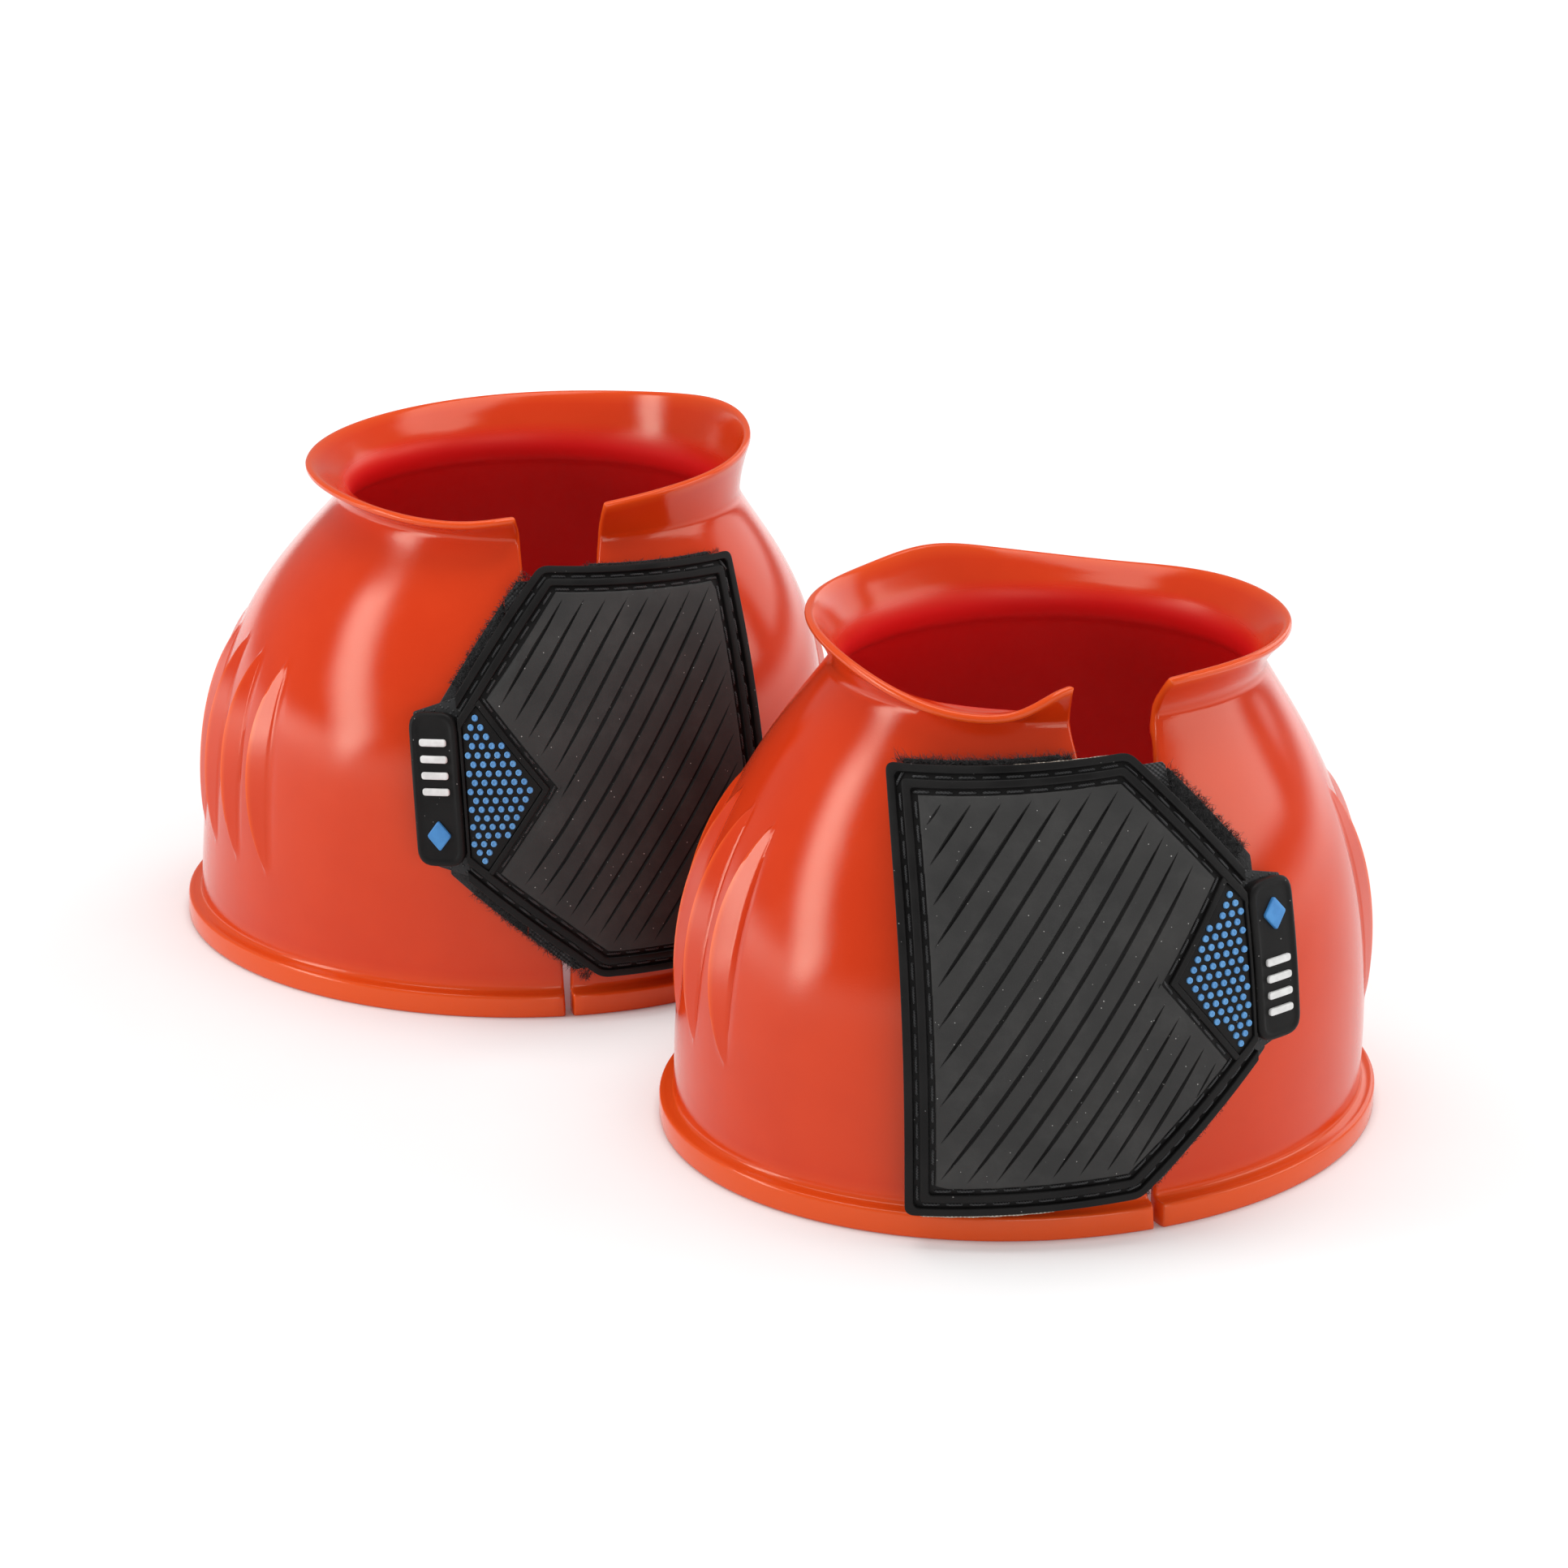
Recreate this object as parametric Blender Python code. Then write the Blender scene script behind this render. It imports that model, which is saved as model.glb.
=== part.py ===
"""Overreach boots: a standing pair of moulded bell boots for a horse, as an assembly of separate pieces.

Each boot is one soft bell that is open down its front. A double hook-and-loop closure holds it shut:
an inner strap is sewn to one flap and lands on a loop patch on the other, and the rubber-faced outer
strap, sewn to that other flap, folds over it all. Lengths are in metres, angles in degrees, +Z is up,
and the origin is on the floor, at the centre of the pair.

A place on a strap is given by u, the distance round the bell from its slit, positive towards the pull
tab, by its way up the bell, measured along the skin from the foot, and by how far it stands off that skin.
"""

import math

import bmesh
import bpy
import numpy as np
from mathutils import Vector

# Bell: the long half-axis of its oval at the foot, and at the neck, which each boot stretches its own way
FOOT_RADIUS = 0.0842
NECK_RADIUS_RIGHT = 0.0510
NECK_RADIUS_LEFT = 0.0530
NECK_HEIGHT_RIGHT = 0.1120
NECK_HEIGHT_LEFT = 0.1180
PAIR_ACROSS_SHARE = 0.791
PAIR_ALONG_SHARE = 0.7411
FOOT_OVAL_SHARE = 0.862
NECK_OVAL_SHARE = 0.929
WALL = 0.0028

# Foot rim: a band that stands out round the bottom edge
RIM_HEIGHT = 0.0062
RIM_PROUD = 0.0036
RIM_EDGE = 0.0009
RIM_FILLET = 0.0006

# Collar: a thin lip that flares out above the neck
LIP_FLARE = 0.0062
LIP_FLARE_POWER_SHARE = 1.6
LIP_WALL = 0.0020
LIP_DIP_HALF_ANGLE = 34.0
LIP_RISE_HALF_ANGLE = 9.0
LIP_ROW_SHARES = (0.4, 0.75, 1.0)
INNER_LIP_ROW_SHARES = (1.0, 0.5)
OVER_NECK_SHARE = 1.15
BEAD_PROUD = 0.0011
BEAD_DROP = 0.0045

# Slit: the open front, half its width at the foot and at the collar
SLIT_HALF_FOOT = 0.0016
SLIT_HALF_COLLAR = 0.0108
SLIT_POWER_SHARE = 1.5

# Gills: raised crescents on both sides of the bell
GILLS = 5
GILL_HEIGHT = 0.0540
GILL_MIDDLE = 0.0555
GILL_WIDTH = 0.0105
GILL_PROUD = 0.0026
GILL_BACK = 0.0016
GILL_STEP_ANGLE = 10.5
GILL_START_ANGLE_FLAT_SIDE = 77.0
GILL_START_ANGLE_TAB_SIDE = 66.0
GILL_POWER_SHARE = 0.8

# Closure layers, from the bell outwards
BELL_GAP = 0.0005
LAYER_GAP = 0.0003
PATCH_THICK = 0.0014
INNER_HOOK_THICK = 0.0007
INNER_STRAP_THICK = 0.0014
LINING_THICK = 0.0009
OVERLAY_THICK = 0.0026

# Outer strap: a pentagon, from its sewn flat edge to the end that carries the pull tab
FLAT_EDGE_FOOT = 0.0585
FLAT_EDGE_TOP = 0.0505
STRAP_TIP = 0.0230
STRAP_FOOT = 0.0093
STRAP_HEIGHT = 0.1012
STRAP_SHOULDER_TOP = 0.0003
STRAP_SHOULDER_FOOT = -0.0072
TIP_HEIGHT = 0.0425
TIP_MIDDLE = STRAP_FOOT + STRAP_HEIGHT / 2
STRAP_RISE_FOOT = 0.0025
STRAP_RISE_TOP = 0.0045
CORNER_RADIUS = 0.0022

# Outer strap's face: a lip, two stitch channels with a rib between them, and a sunk field
LIP_WIDTH = 0.0018
CHANNEL_WIDTH = 0.0014
RIB_WIDTH = 0.0018
CHANNEL_DEPTH = 0.0011
CHANNEL_END = 0.0040
FIELD_DROP = 0.0004

# Grip insert: a five-cornered piece of dotted rubber let into the field beside the tab
INSERT_POINT = 0.0040
INSERT_SHOULDER = 0.0182
INSERT_HALF_HEIGHT = 0.0190
INSERT_END = 0.0212
INSERT_END_HALF_HEIGHT = 0.0168
POCKET_DEPTH = 0.0013
INSERT_THICK = 0.0008
INSERT_SEAM = 0.0014

# Pull tab, with its badge and grip bars in a sunk floor
TAB_LENGTH = 0.0120
TAB_HEIGHT = 0.0350
TAB_PROUD = 0.0006
TAB_CORNER = 0.0024
TAB_RIM = 0.0012
TAB_FLOOR_DEPTH = 0.0009
BADGE_HALF_LENGTH = 0.0030
BADGE_HALF_HEIGHT = 0.0036
BADGE_THICK = 0.0009
BADGE_RISE = 0.0100
BARS = 4
BAR_LENGTH = 0.0066
BAR_HEIGHT = 0.0016
BAR_PITCH = 0.0036
BAR_THICK = 0.0006
BAR_BASE_THICK = 0.0003
BAR_MARGIN = 0.0004
BAR_MIDDLE_DROP = 0.0055

# Loop patch on the near flap, and the sewn strip that carries the outer strap's flat edge
PATCH_MARGIN = 0.0020
PATCH_END = 0.0125
PATCH_FOOT = 0.0115
PATCH_TOP_DROP = 0.0017
PATCH_TOP = STRAP_FOOT + STRAP_HEIGHT - PATCH_TOP_DROP
ANCHOR_WIDTH = 0.0050

# Inner strap: its seam on the far flap, its free end, and the sewn base beyond the seam
SEAM = 0.0100
SEAM_GAP = 0.0004
INNER_END = 0.0260
INNER_FOOT = 0.0130
INNER_TOP_DROP = 0.0047
INNER_TOP = STRAP_FOOT + STRAP_HEIGHT - INNER_TOP_DROP
BASE_MARGIN = 0.0034
BASE_UNDER_TAB = 0.0055

# Threads of the stitch rows
THREAD_RADIUS = 0.00033
THREAD_STEP = 0.0090

# Mesh fineness: the lattice that bends every flat layer round the bell
LATTICE_U = 0.0100
LATTICE_WAY = 0.0078
OVERRUN = 0.0030
FRONT_COLUMNS = 8
BACK_COLUMNS = 12
GILL_ROWS = 9
SHOULDER_ROWS = 5
INNER_ROWS = 10
INNER_ROW_POWER_SHARE = 0.8
ON_LINE = 0.0000001
NORMAL_STEP_SHARE = 0.002
AXIS_SAMPLES = 41
PROFILE_SAMPLES = 400

# Each boot as it stands: soft rubber settles a little differently on the two
RIGHT_BOOT = {
    "name": "right",
    "side": 1,
    "place": (PAIR_ACROSS_SHARE * FOOT_RADIUS, -PAIR_ALONG_SHARE * FOOT_RADIUS),
    "turn": 20.3,
    "neck_height": NECK_HEIGHT_RIGHT,
    "neck_radius": NECK_RADIUS_RIGHT,
    "neck_shift": 0.0045,
    "neck_shift_power_share": 2.0,
    "shape_shares": (3.1, 1.16),
    "slit_foot_angle": 21.3,
    "slit_neck_angle": 14.5,
    "lip_height": 0.1223,
    "lip_tilt": 0.0015,
    "lip_tilt_angle": -60.0,
    "lip_dip": 0.0104,
    "lip_dip_angle": -22.0,
    "lip_rise": 0.0045,
    "lip_rise_angle": 2.0,
    "lip_flare_tilt": 0.0,
    "strap_lean": 1.0,
    "strap_shift": 0.0,
    "strap_stretch_share": 1.0,
    "strap_squeeze_share": 1.0,
    "strap_up": 1,
}
LEFT_BOOT = {
    "name": "left",
    "side": -1,
    "place": (-PAIR_ACROSS_SHARE * FOOT_RADIUS, PAIR_ALONG_SHARE * FOOT_RADIUS),
    "turn": -20.6,
    "neck_height": NECK_HEIGHT_LEFT,
    "neck_radius": NECK_RADIUS_LEFT,
    "neck_shift": 0.0125,
    "neck_shift_power_share": 1.2,
    "shape_shares": (4.5, 1.30),
    "slit_foot_angle": 16.5,
    "slit_neck_angle": 9.0,
    "lip_height": 0.1285,
    "lip_tilt": 0.0035,
    "lip_tilt_angle": 110.0,
    "lip_dip": 0.0042,
    "lip_dip_angle": -18.0,
    "lip_rise": 0.0006,
    "lip_rise_angle": -3.0,
    "lip_flare_tilt": -0.0029,
    "strap_lean": -3.0,
    "strap_shift": 0.0018,
    "strap_stretch_share": 1.054,
    "strap_squeeze_share": 0.92,
    "strap_up": -1,
}

# Finishes: colour, roughness, metallic
FINISHES = {
    "bell_rubber": ((0.78, 0.07, 0.025), 0.28, 0.0),
    "strap_rubber": ((0.028, 0.028, 0.030), 0.55, 0.0),
    "grip_rubber": ((0.045, 0.20, 0.50), 0.45, 0.0),
    "loop_pile": ((0.018, 0.018, 0.019), 0.95, 0.0),
    "webbing": ((0.022, 0.022, 0.024), 0.80, 0.0),
    "hook_tape": ((0.020, 0.020, 0.022), 0.70, 0.0),
    "thread": ((0.015, 0.015, 0.016), 0.70, 0.0),
    "badge_blue": ((0.05, 0.30, 0.70), 0.40, 0.0),
    "bar_white": ((0.85, 0.86, 0.86), 0.45, 0.0),
}


# Layers: how far each starts from the bell's skin
PATCH_LOW = BELL_GAP
INNER_HOOK_LOW = PATCH_LOW + PATCH_THICK + LAYER_GAP
INNER_STRAP_LOW = INNER_HOOK_LOW + INNER_HOOK_THICK + LAYER_GAP
LINING_LOW = INNER_STRAP_LOW + INNER_STRAP_THICK + LAYER_GAP
OVERLAY_LOW = LINING_LOW + LINING_THICK + LAYER_GAP


# The bell's skin


def bell_profile(boot, z):
    """Long half-axis and oval share at height z: the foot radius falls to the neck by a power law."""
    rise, fall = boot["shape_shares"]
    share = np.clip(z / boot["neck_height"], 0, 1)
    neck = boot["neck_radius"]
    long_axis = neck + (FOOT_RADIUS - neck) * (1 - share**rise) ** fall
    oval = FOOT_OVAL_SHARE + (NECK_OVAL_SHARE - FOOT_OVAL_SHARE) * share
    return long_axis, oval, share


def lip_height(boot, angle):
    """Height of the collar's edge: tilted, dipping beside the slit, and rising again at one flap's corner."""
    tilt = boot["lip_tilt"] * np.cos(np.radians(angle - boot["lip_tilt_angle"]))
    away = (angle - boot["lip_dip_angle"] + 180) % 360 - 180
    dip = boot["lip_dip"] * np.exp(-((away / LIP_DIP_HALF_ANGLE) ** 2))
    beyond = (angle - boot["lip_rise_angle"] + 180) % 360 - 180
    rise = boot["lip_rise"] * np.exp(-((beyond / LIP_RISE_HALF_ANGLE) ** 2))
    return boot["lip_height"] + tilt - dip + rise


def raw_skin(boot, angle, z):
    """Point of the smooth outer skin at an angle (0 at the front, 90 to the right) and a height."""
    long_axis, oval, share = bell_profile(boot, z)
    above_neck = (z - boot["neck_height"]) / (lip_height(boot, angle) - boot["neck_height"])
    edge_flare = LIP_FLARE + boot["lip_flare_tilt"] * np.sin(np.radians(angle))
    flare = edge_flare * np.clip(above_neck, 0, OVER_NECK_SHARE) ** LIP_FLARE_POWER_SHARE
    from_axis = np.radians(angle - boot["turn"])
    radius = 1 / np.sqrt((np.sin(from_axis) / long_axis) ** 2 + (np.cos(from_axis) / (long_axis * oval)) ** 2)
    radius = radius + flare
    shift = boot["neck_shift"] * share ** boot["neck_shift_power_share"]
    turned = np.radians(angle)
    x = boot["place"][0] + shift + radius * np.sin(turned)
    y = boot["place"][1] - radius * np.cos(turned)
    return np.stack(np.broadcast_arrays(x, y, z), axis=-1)


def skin(boot, angle, z, off):
    """Point that stands off the skin, along its outward normal."""
    angle, z, off = np.broadcast_arrays(np.asarray(angle, float), np.asarray(z, float), np.asarray(off, float))
    step = FOOT_RADIUS * NORMAL_STEP_SHARE
    turn_step = math.degrees(NORMAL_STEP_SHARE)
    low = np.maximum(z - step, 0)
    high = np.maximum(z, 0) + step
    along = raw_skin(boot, angle + turn_step, z) - raw_skin(boot, angle - turn_step, z)
    up = raw_skin(boot, angle, high) - raw_skin(boot, angle, low)
    normal = np.cross(along, up)
    normal /= np.linalg.norm(normal, axis=-1, keepdims=True)
    return raw_skin(boot, angle, z) + normal * off[..., None]


def slit_angle(boot, z):
    share = np.clip(z / boot["neck_height"], 0, OVER_NECK_SHARE)
    return boot["slit_foot_angle"] + (boot["slit_neck_angle"] - boot["slit_foot_angle"]) * share


def angle_at(boot, u, z):
    """Angle of the place u along the bell from the slit, measured on the long half-axis."""
    long_axis, oval, _ = bell_profile(boot, z)
    radius = long_axis * (1 + oval) / 2
    return slit_angle(boot, z) + boot["side"] * np.degrees(u / radius)


def height_of(boot, way):
    """Height of a place from its way up the bell, measured along the skin from the foot."""
    z = np.linspace(0, boot["neck_height"], PROFILE_SAMPLES)
    radius = bell_profile(boot, z)[0]
    ways = np.cumsum(np.hypot(np.diff(radius), np.diff(z)))
    over_neck = np.maximum(way - ways[-1], 0)
    return np.interp(way, np.concatenate([[0], ways]), z) + over_neck


def wrap(boot, u, way, off):
    """Point of a strap's place: u round the bell from the slit, way up it, off the skin."""
    z = height_of(boot, way)
    return skin(boot, angle_at(boot, u, z), z, off)


def lean(boot, u, way):
    """Moves a strap's place to where that boot's strap lies: squeezed on its flat side, then turned."""
    angle = math.radians(boot["strap_lean"])
    middle = STRAP_FOOT + STRAP_HEIGHT / 2
    u = np.where(u < 0, u * boot["strap_squeeze_share"], u)
    turned_u = u * math.cos(angle) - (way - middle) * math.sin(angle)
    turned_way = middle + (way - middle) * math.cos(angle) + u * math.sin(angle)
    return turned_u + boot["strap_shift"], turned_way * boot["strap_stretch_share"]


# Objects and finishes


def clear_scene():
    for old in list(bpy.data.objects):
        bpy.data.objects.remove(old, do_unlink=True)


def finish(name):
    found = bpy.data.materials.get(name)
    if found:
        return found
    colour, roughness, metallic = FINISHES[name]
    made = bpy.data.materials.new(name)
    made.use_nodes = True
    shader = made.node_tree.nodes["Principled BSDF"]
    shader.inputs["Base Color"].default_value = (*colour, 1)
    shader.inputs["Roughness"].default_value = roughness
    shader.inputs["Metallic"].default_value = metallic
    return made


def add_object(name, data, finish_name):
    made = bpy.data.objects.new(name, data)
    bpy.context.collection.objects.link(made)
    made.data.materials.append(finish(finish_name))
    return made


def add_mesh(boot, name, work, finish_name, smooth_angle=40.0):
    """Takes a mesh that was made facing outwards on the right boot: the left boot mirrors it."""
    if boot["side"] < 0:
        bmesh.ops.reverse_faces(work, faces=work.faces)
    name = boot["name"] + "_" + name
    mesh = bpy.data.meshes.new(name)
    work.to_mesh(mesh)
    work.free()
    mesh.shade_smooth()
    mesh.set_sharp_from_angle(angle=math.radians(smooth_angle))
    return add_object(name, mesh, finish_name)


def peel_axis(boot, foot, top, inward_u, off):
    """A straight axis along a sewn edge: it touches the edge's most outward place, because the edge
    is bowed and the axis isn't, and no place of the edge lies behind it. Its direction is the one
    about which the piece opens by the right-hand rule."""
    shares = np.linspace(0, 1, AXIS_SAMPLES)
    u = foot[0] + (top[0] - foot[0]) * shares
    z = foot[1] + (top[1] - foot[1]) * shares
    places = wrap(boot, *lean(boot, u, z), off)
    middle = AXIS_SAMPLES // 2
    inward = wrap(boot, *lean(boot, u[middle] + inward_u, z[middle]), off) - places[middle]
    up = places[-1] - places[0]
    up /= np.linalg.norm(up)
    outward = np.cross(inward, up)
    outward /= np.linalg.norm(outward)
    outward *= np.sign(outward @ (places[0] - np.array([*boot["place"], foot[1]])))
    across = np.cross(up, outward)
    across *= np.sign(across @ inward)
    from_foot = places - places[0]
    place = places[0] + outward * (from_foot @ outward).max() + across * (from_foot @ across).min()
    place = place + up * (top[1] - foot[1]) / 2
    direction = up * np.sign(np.cross(up, across) @ outward)
    return place, direction


def hang_on(boot, name, axis, pieces):
    """Parents pieces to an empty on their joint's axis, where they stay in place."""
    place, direction = axis
    hinge = bpy.data.objects.new(boot["name"] + "_" + name, None)
    hinge.location = place
    hinge.rotation_mode = "QUATERNION"
    hinge.rotation_quaternion = Vector(direction).to_track_quat("Z", "Y")
    bpy.context.collection.objects.link(hinge)
    bpy.context.view_layer.update()
    for piece in pieces:
        piece.parent = hinge
        piece.matrix_parent_inverse = hinge.matrix_world.inverted()
    return hinge


def stand_at_origin():
    """Moves the finished pair so that its box stands on the origin at the middle of its foot."""
    bpy.context.view_layer.update()
    graph = bpy.context.evaluated_depsgraph_get()
    corners = []
    for item in bpy.data.objects:
        if item.type != "EMPTY":
            seen = item.evaluated_get(graph)
            corners += [seen.matrix_world @ Vector(corner) for corner in seen.bound_box]
    corners = np.array(corners)
    low, high = corners.min(axis=0), corners.max(axis=0)
    shift = -Vector(((low[0] + high[0]) / 2, (low[1] + high[1]) / 2, low[2]))
    for item in bpy.data.objects:
        if item.parent is None:
            item.location += shift
    bpy.context.view_layer.update()
    print("moved by", [round(value, 5) for value in shift])
    for item in bpy.data.objects:
        if item.type == "EMPTY":
            axis = item.matrix_world.to_quaternion() @ Vector((0, 0, 1))
            place = [round(value, 5) for value in item.matrix_world.translation]
            print(item.name, "at", place, "along", [round(value, 5) for value in axis])


# The shell


def gill_envelope(z):
    """0 at a gill's two pointed ends, 1 at its middle."""
    share = (z - GILL_MIDDLE) / (GILL_HEIGHT / 2)
    return np.clip(1 - share**2, 0, 1) ** GILL_POWER_SHARE


def shell_columns(boot, z):
    """Angles from the slit, and outward push, of each column of the outer skin at the heights z."""
    foot_radius = bell_profile(boot, z)[0]
    envelope = gill_envelope(z)
    degrees_per_metre = np.degrees(1 / foot_radius)
    rise = np.clip(z / boot["neck_height"], 0, OVER_NECK_SHARE) ** SLIT_POWER_SHARE
    half_slit = (SLIT_HALF_FOOT + (SLIT_HALF_COLLAR - SLIT_HALF_FOOT) * rise) * degrees_per_metre
    crest = (GILL_BACK + GILL_WIDTH * envelope) * degrees_per_metre
    back = crest + GILL_BACK * degrees_per_metre
    none = np.zeros_like(z)

    tab_side = [(GILL_START_ANGLE_TAB_SIDE + i * GILL_STEP_ANGLE) for i in range(GILLS)]
    flat_side = [(GILL_START_ANGLE_FLAT_SIDE + i * GILL_STEP_ANGLE) for i in range(GILLS)]
    columns = plain_columns(half_slit, tab_side[0] + none, FRONT_COLUMNS)
    for start in tab_side:
        columns += [(start + none, none), (start + crest, GILL_PROUD * envelope), (start + back, none)]
    first_back = columns[-1][0]
    last_back = 360 - flat_side[-1] - back
    columns += plain_columns(first_back, last_back, BACK_COLUMNS)[1:]
    for start in reversed(flat_side):
        edge = 360 - start
        columns += [(edge - back, none), (edge - crest, GILL_PROUD * envelope), (edge + none, none)]
    columns += plain_columns(columns[-1][0], 360 - half_slit, FRONT_COLUMNS)[1:]
    columns.append((360 - half_slit, none))
    return columns


def plain_columns(start, end, count):
    """Evenly spread columns from start up to, and not with, end."""
    return [(start + (end - start) * i / count, np.zeros_like(start)) for i in range(count)]


def shell_rows(boot):
    """Outer rows as (height, share of the lip's height, offset): rim, then body, then lip."""
    body_low = RIM_HEIGHT + RIM_FILLET
    neck = boot["neck_height"]
    rows = [
        (0.0, 0.0, RIM_PROUD - RIM_EDGE),
        (RIM_EDGE, 0.0, RIM_PROUD),
        (RIM_HEIGHT - RIM_EDGE, 0.0, RIM_PROUD),
        (RIM_HEIGHT, 0.0, RIM_PROUD - RIM_EDGE),
        (body_low, 0.0, 0.0),
    ]
    gill_low = GILL_MIDDLE - GILL_HEIGHT / 2
    gill_high = GILL_MIDDLE + GILL_HEIGHT / 2
    gill_step = GILL_HEIGHT / (GILL_ROWS - 1)
    shoulder_step = (neck - gill_high) / SHOULDER_ROWS
    rows.append(((body_low + gill_low) / 2, 0.0, 0.0))
    rows += [(gill_low + gill_step * i, 0.0, 0.0) for i in range(GILL_ROWS)]
    rows += [(gill_high + shoulder_step * (i + 1), 0.0, 0.0) for i in range(SHOULDER_ROWS)]
    rows += [(neck, share, 0.0) for share in LIP_ROW_SHARES]
    return rows


def inner_rows(boot):
    """Inner rows from the lip down to the foot, in the same form."""
    neck = boot["neck_height"]
    rows = [(neck, share, -LIP_WALL) for share in INNER_LIP_ROW_SHARES]
    rows += [(neck, 0.0, -WALL), (neck - BEAD_DROP / 2, 0.0, -WALL - BEAD_PROUD)]
    top = neck - BEAD_DROP
    rows += [(top * (1 - i / INNER_ROWS) ** INNER_ROW_POWER_SHARE, 0.0, -WALL) for i in range(INNER_ROWS)]
    rows.append((0.0, 0.0, -WALL))
    return rows


def shell_ring(boot, columns_at, row, pushed):
    """Points of one row, one for each column."""
    height, lip_share, off = row
    places = columns_at(np.array([height]))
    points = []
    for angle, push in places:
        turned = slit_angle(boot, height) + boot["side"] * angle[0]
        top = lip_height(boot, turned)
        z = height + lip_share * (top - height)
        outward = off + (push[0] if pushed else 0)
        point = skin(boot, turned, z, outward)
        if not height:
            point[2] = 0
        points.append(point)
    return points


def make_shell(boot):
    """Soft bell: one closed wall from slit edge to slit edge, with rim, gills, neck bead and lip."""

    def columns_at(z):
        return shell_columns(boot, z)

    rings = [shell_ring(boot, columns_at, row, True) for row in shell_rows(boot)]
    rings += [shell_ring(boot, columns_at, row, False) for row in inner_rows(boot)]
    work = bmesh.new()
    grid = [[work.verts.new(point) for point in ring] for ring in rings]
    count = len(grid)
    for k in range(count):
        ring = grid[k]
        above = grid[(k + 1) % count]
        for i in range(len(ring) - 1):
            work.faces.new((ring[i], ring[i + 1], above[i + 1], above[i]))
    work.faces.new([ring[0] for ring in grid])
    work.faces.new([ring[-1] for ring in reversed(grid)])
    return add_mesh(boot, "shell", work, "bell_rubber", 50.0)


# Flat layers, modelled flat as (u, way, off) and then bent round the bell


def flat_plate(corners, thick, radius=0.0, corner_segments=2):
    """A flat slab of the given outline, its upright corners rounded, and its top face."""
    work = bmesh.new()
    base = work.faces.new([work.verts.new((u, z, 0)) for u, z in corners])
    if base.normal.z > 0:
        base.normal_flip()
    made = bmesh.ops.extrude_face_region(work, geom=[base], use_keep_orig=True)
    lifted = [item for item in made["geom"] if isinstance(item, bmesh.types.BMVert)]
    bmesh.ops.translate(work, verts=lifted, vec=(0, 0, thick))
    if radius:
        upright = [edge for edge in work.edges if abs(edge.verts[0].co.z - edge.verts[1].co.z) > thick / 2]
        bmesh.ops.bevel(work, geom=upright, offset=radius, segments=corner_segments, affect="EDGES", profile=0.5)
    bmesh.ops.recalc_face_normals(work, faces=work.faces)
    return work


def displaced(points, distances):
    """The open path through points, each of its runs moved sideways, to its left, by its own distance."""
    lines = []
    for start, end, distance in zip(points, points[1:], distances):
        start, end = Vector(start), Vector(end)
        along = (end - start).normalized()
        left = Vector((-along.y, along.x)) * distance
        lines.append((start + left, end + left))
    path = [lines[0][0]]
    for (a, b), (c, d) in zip(lines, lines[1:]):
        path.append(line_meeting(a, b, c, d))
    path.append(lines[-1][1])
    return [tuple(point) for point in path]


def line_meeting(a, b, c, d):
    """Where the line through a and b meets the line through c and d."""
    first, second = b - a, d - c
    share = (c - a).cross(second) / first.cross(second)
    return a + first * share


def grown(outline, distance):
    """A closed anticlockwise outline moved outwards by a distance."""
    count = len(outline)
    around = [outline[-1]] + list(outline) + [outline[0]]
    path = displaced(around, [-distance] * (count + 1))
    return path[1:-1]


def ribbon(path, half_width):
    """Closed outline of a strip along an open path."""
    runs = len(path) - 1
    left = displaced(path, [half_width] * runs)
    right = displaced(path, [-half_width] * runs)
    return right + left[::-1]


def cut_out(work, cutters):
    """Subtracts flat prisms, each an outline with the height of its floor and of its top."""
    tools = []
    body = temporary_object("body", work)
    for outline, low, high in cutters:
        prism = flat_plate(outline, high - low)
        bmesh.ops.translate(prism, verts=prism.verts, vec=(0, 0, low))
        tool = temporary_object("cutter", prism)
        cut = body.modifiers.new("cut", "BOOLEAN")
        cut.operation = "DIFFERENCE"
        cut.object = tool
        tools.append(tool)
    bpy.context.view_layer.update()
    graph = bpy.context.evaluated_depsgraph_get()
    result = bmesh.new()
    result.from_mesh(body.evaluated_get(graph).to_mesh())
    for item in [body] + tools:
        bpy.data.objects.remove(item, do_unlink=True)
    return result


def temporary_object(name, work):
    mesh = bpy.data.meshes.new(name)
    work.to_mesh(mesh)
    work.free()
    made = bpy.data.objects.new(name, mesh)
    made.hide_render = True
    made.display_type = "WIRE"
    bpy.context.collection.objects.link(made)
    return made


def cut_lattice(work, low, high):
    """Cuts a flat layer along lines that every layer shares, so that bent layers stay parallel."""
    cuts = [((line, 0, 0), (1, 0, 0)) for line in lattice_lines(low[0], high[0], LATTICE_U)]
    cuts += [((0, line, 0), (0, 1, 0)) for line in lattice_lines(low[1], high[1], LATTICE_WAY)]
    for place, direction in cuts:
        geometry = work.verts[:] + work.edges[:] + work.faces[:]
        bmesh.ops.bisect_plane(work, geom=geometry, plane_co=place, plane_no=direction, dist=ON_LINE)


def lattice_lines(low, high, step):
    return [i * step for i in range(math.ceil(low / step), math.floor(high / step) + 1)]


def bend(boot, work, low_off, leaned):
    """Takes a flat layer to its place round the bell."""
    places = np.array([vert.co for vert in work.verts])
    u, z = places[:, 0], places[:, 1]
    if leaned:
        u, z = lean(boot, u, z)
    bent = wrap(boot, u, z, low_off + places[:, 2])
    for vert, place in zip(work.verts, bent):
        vert.co = place


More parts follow.
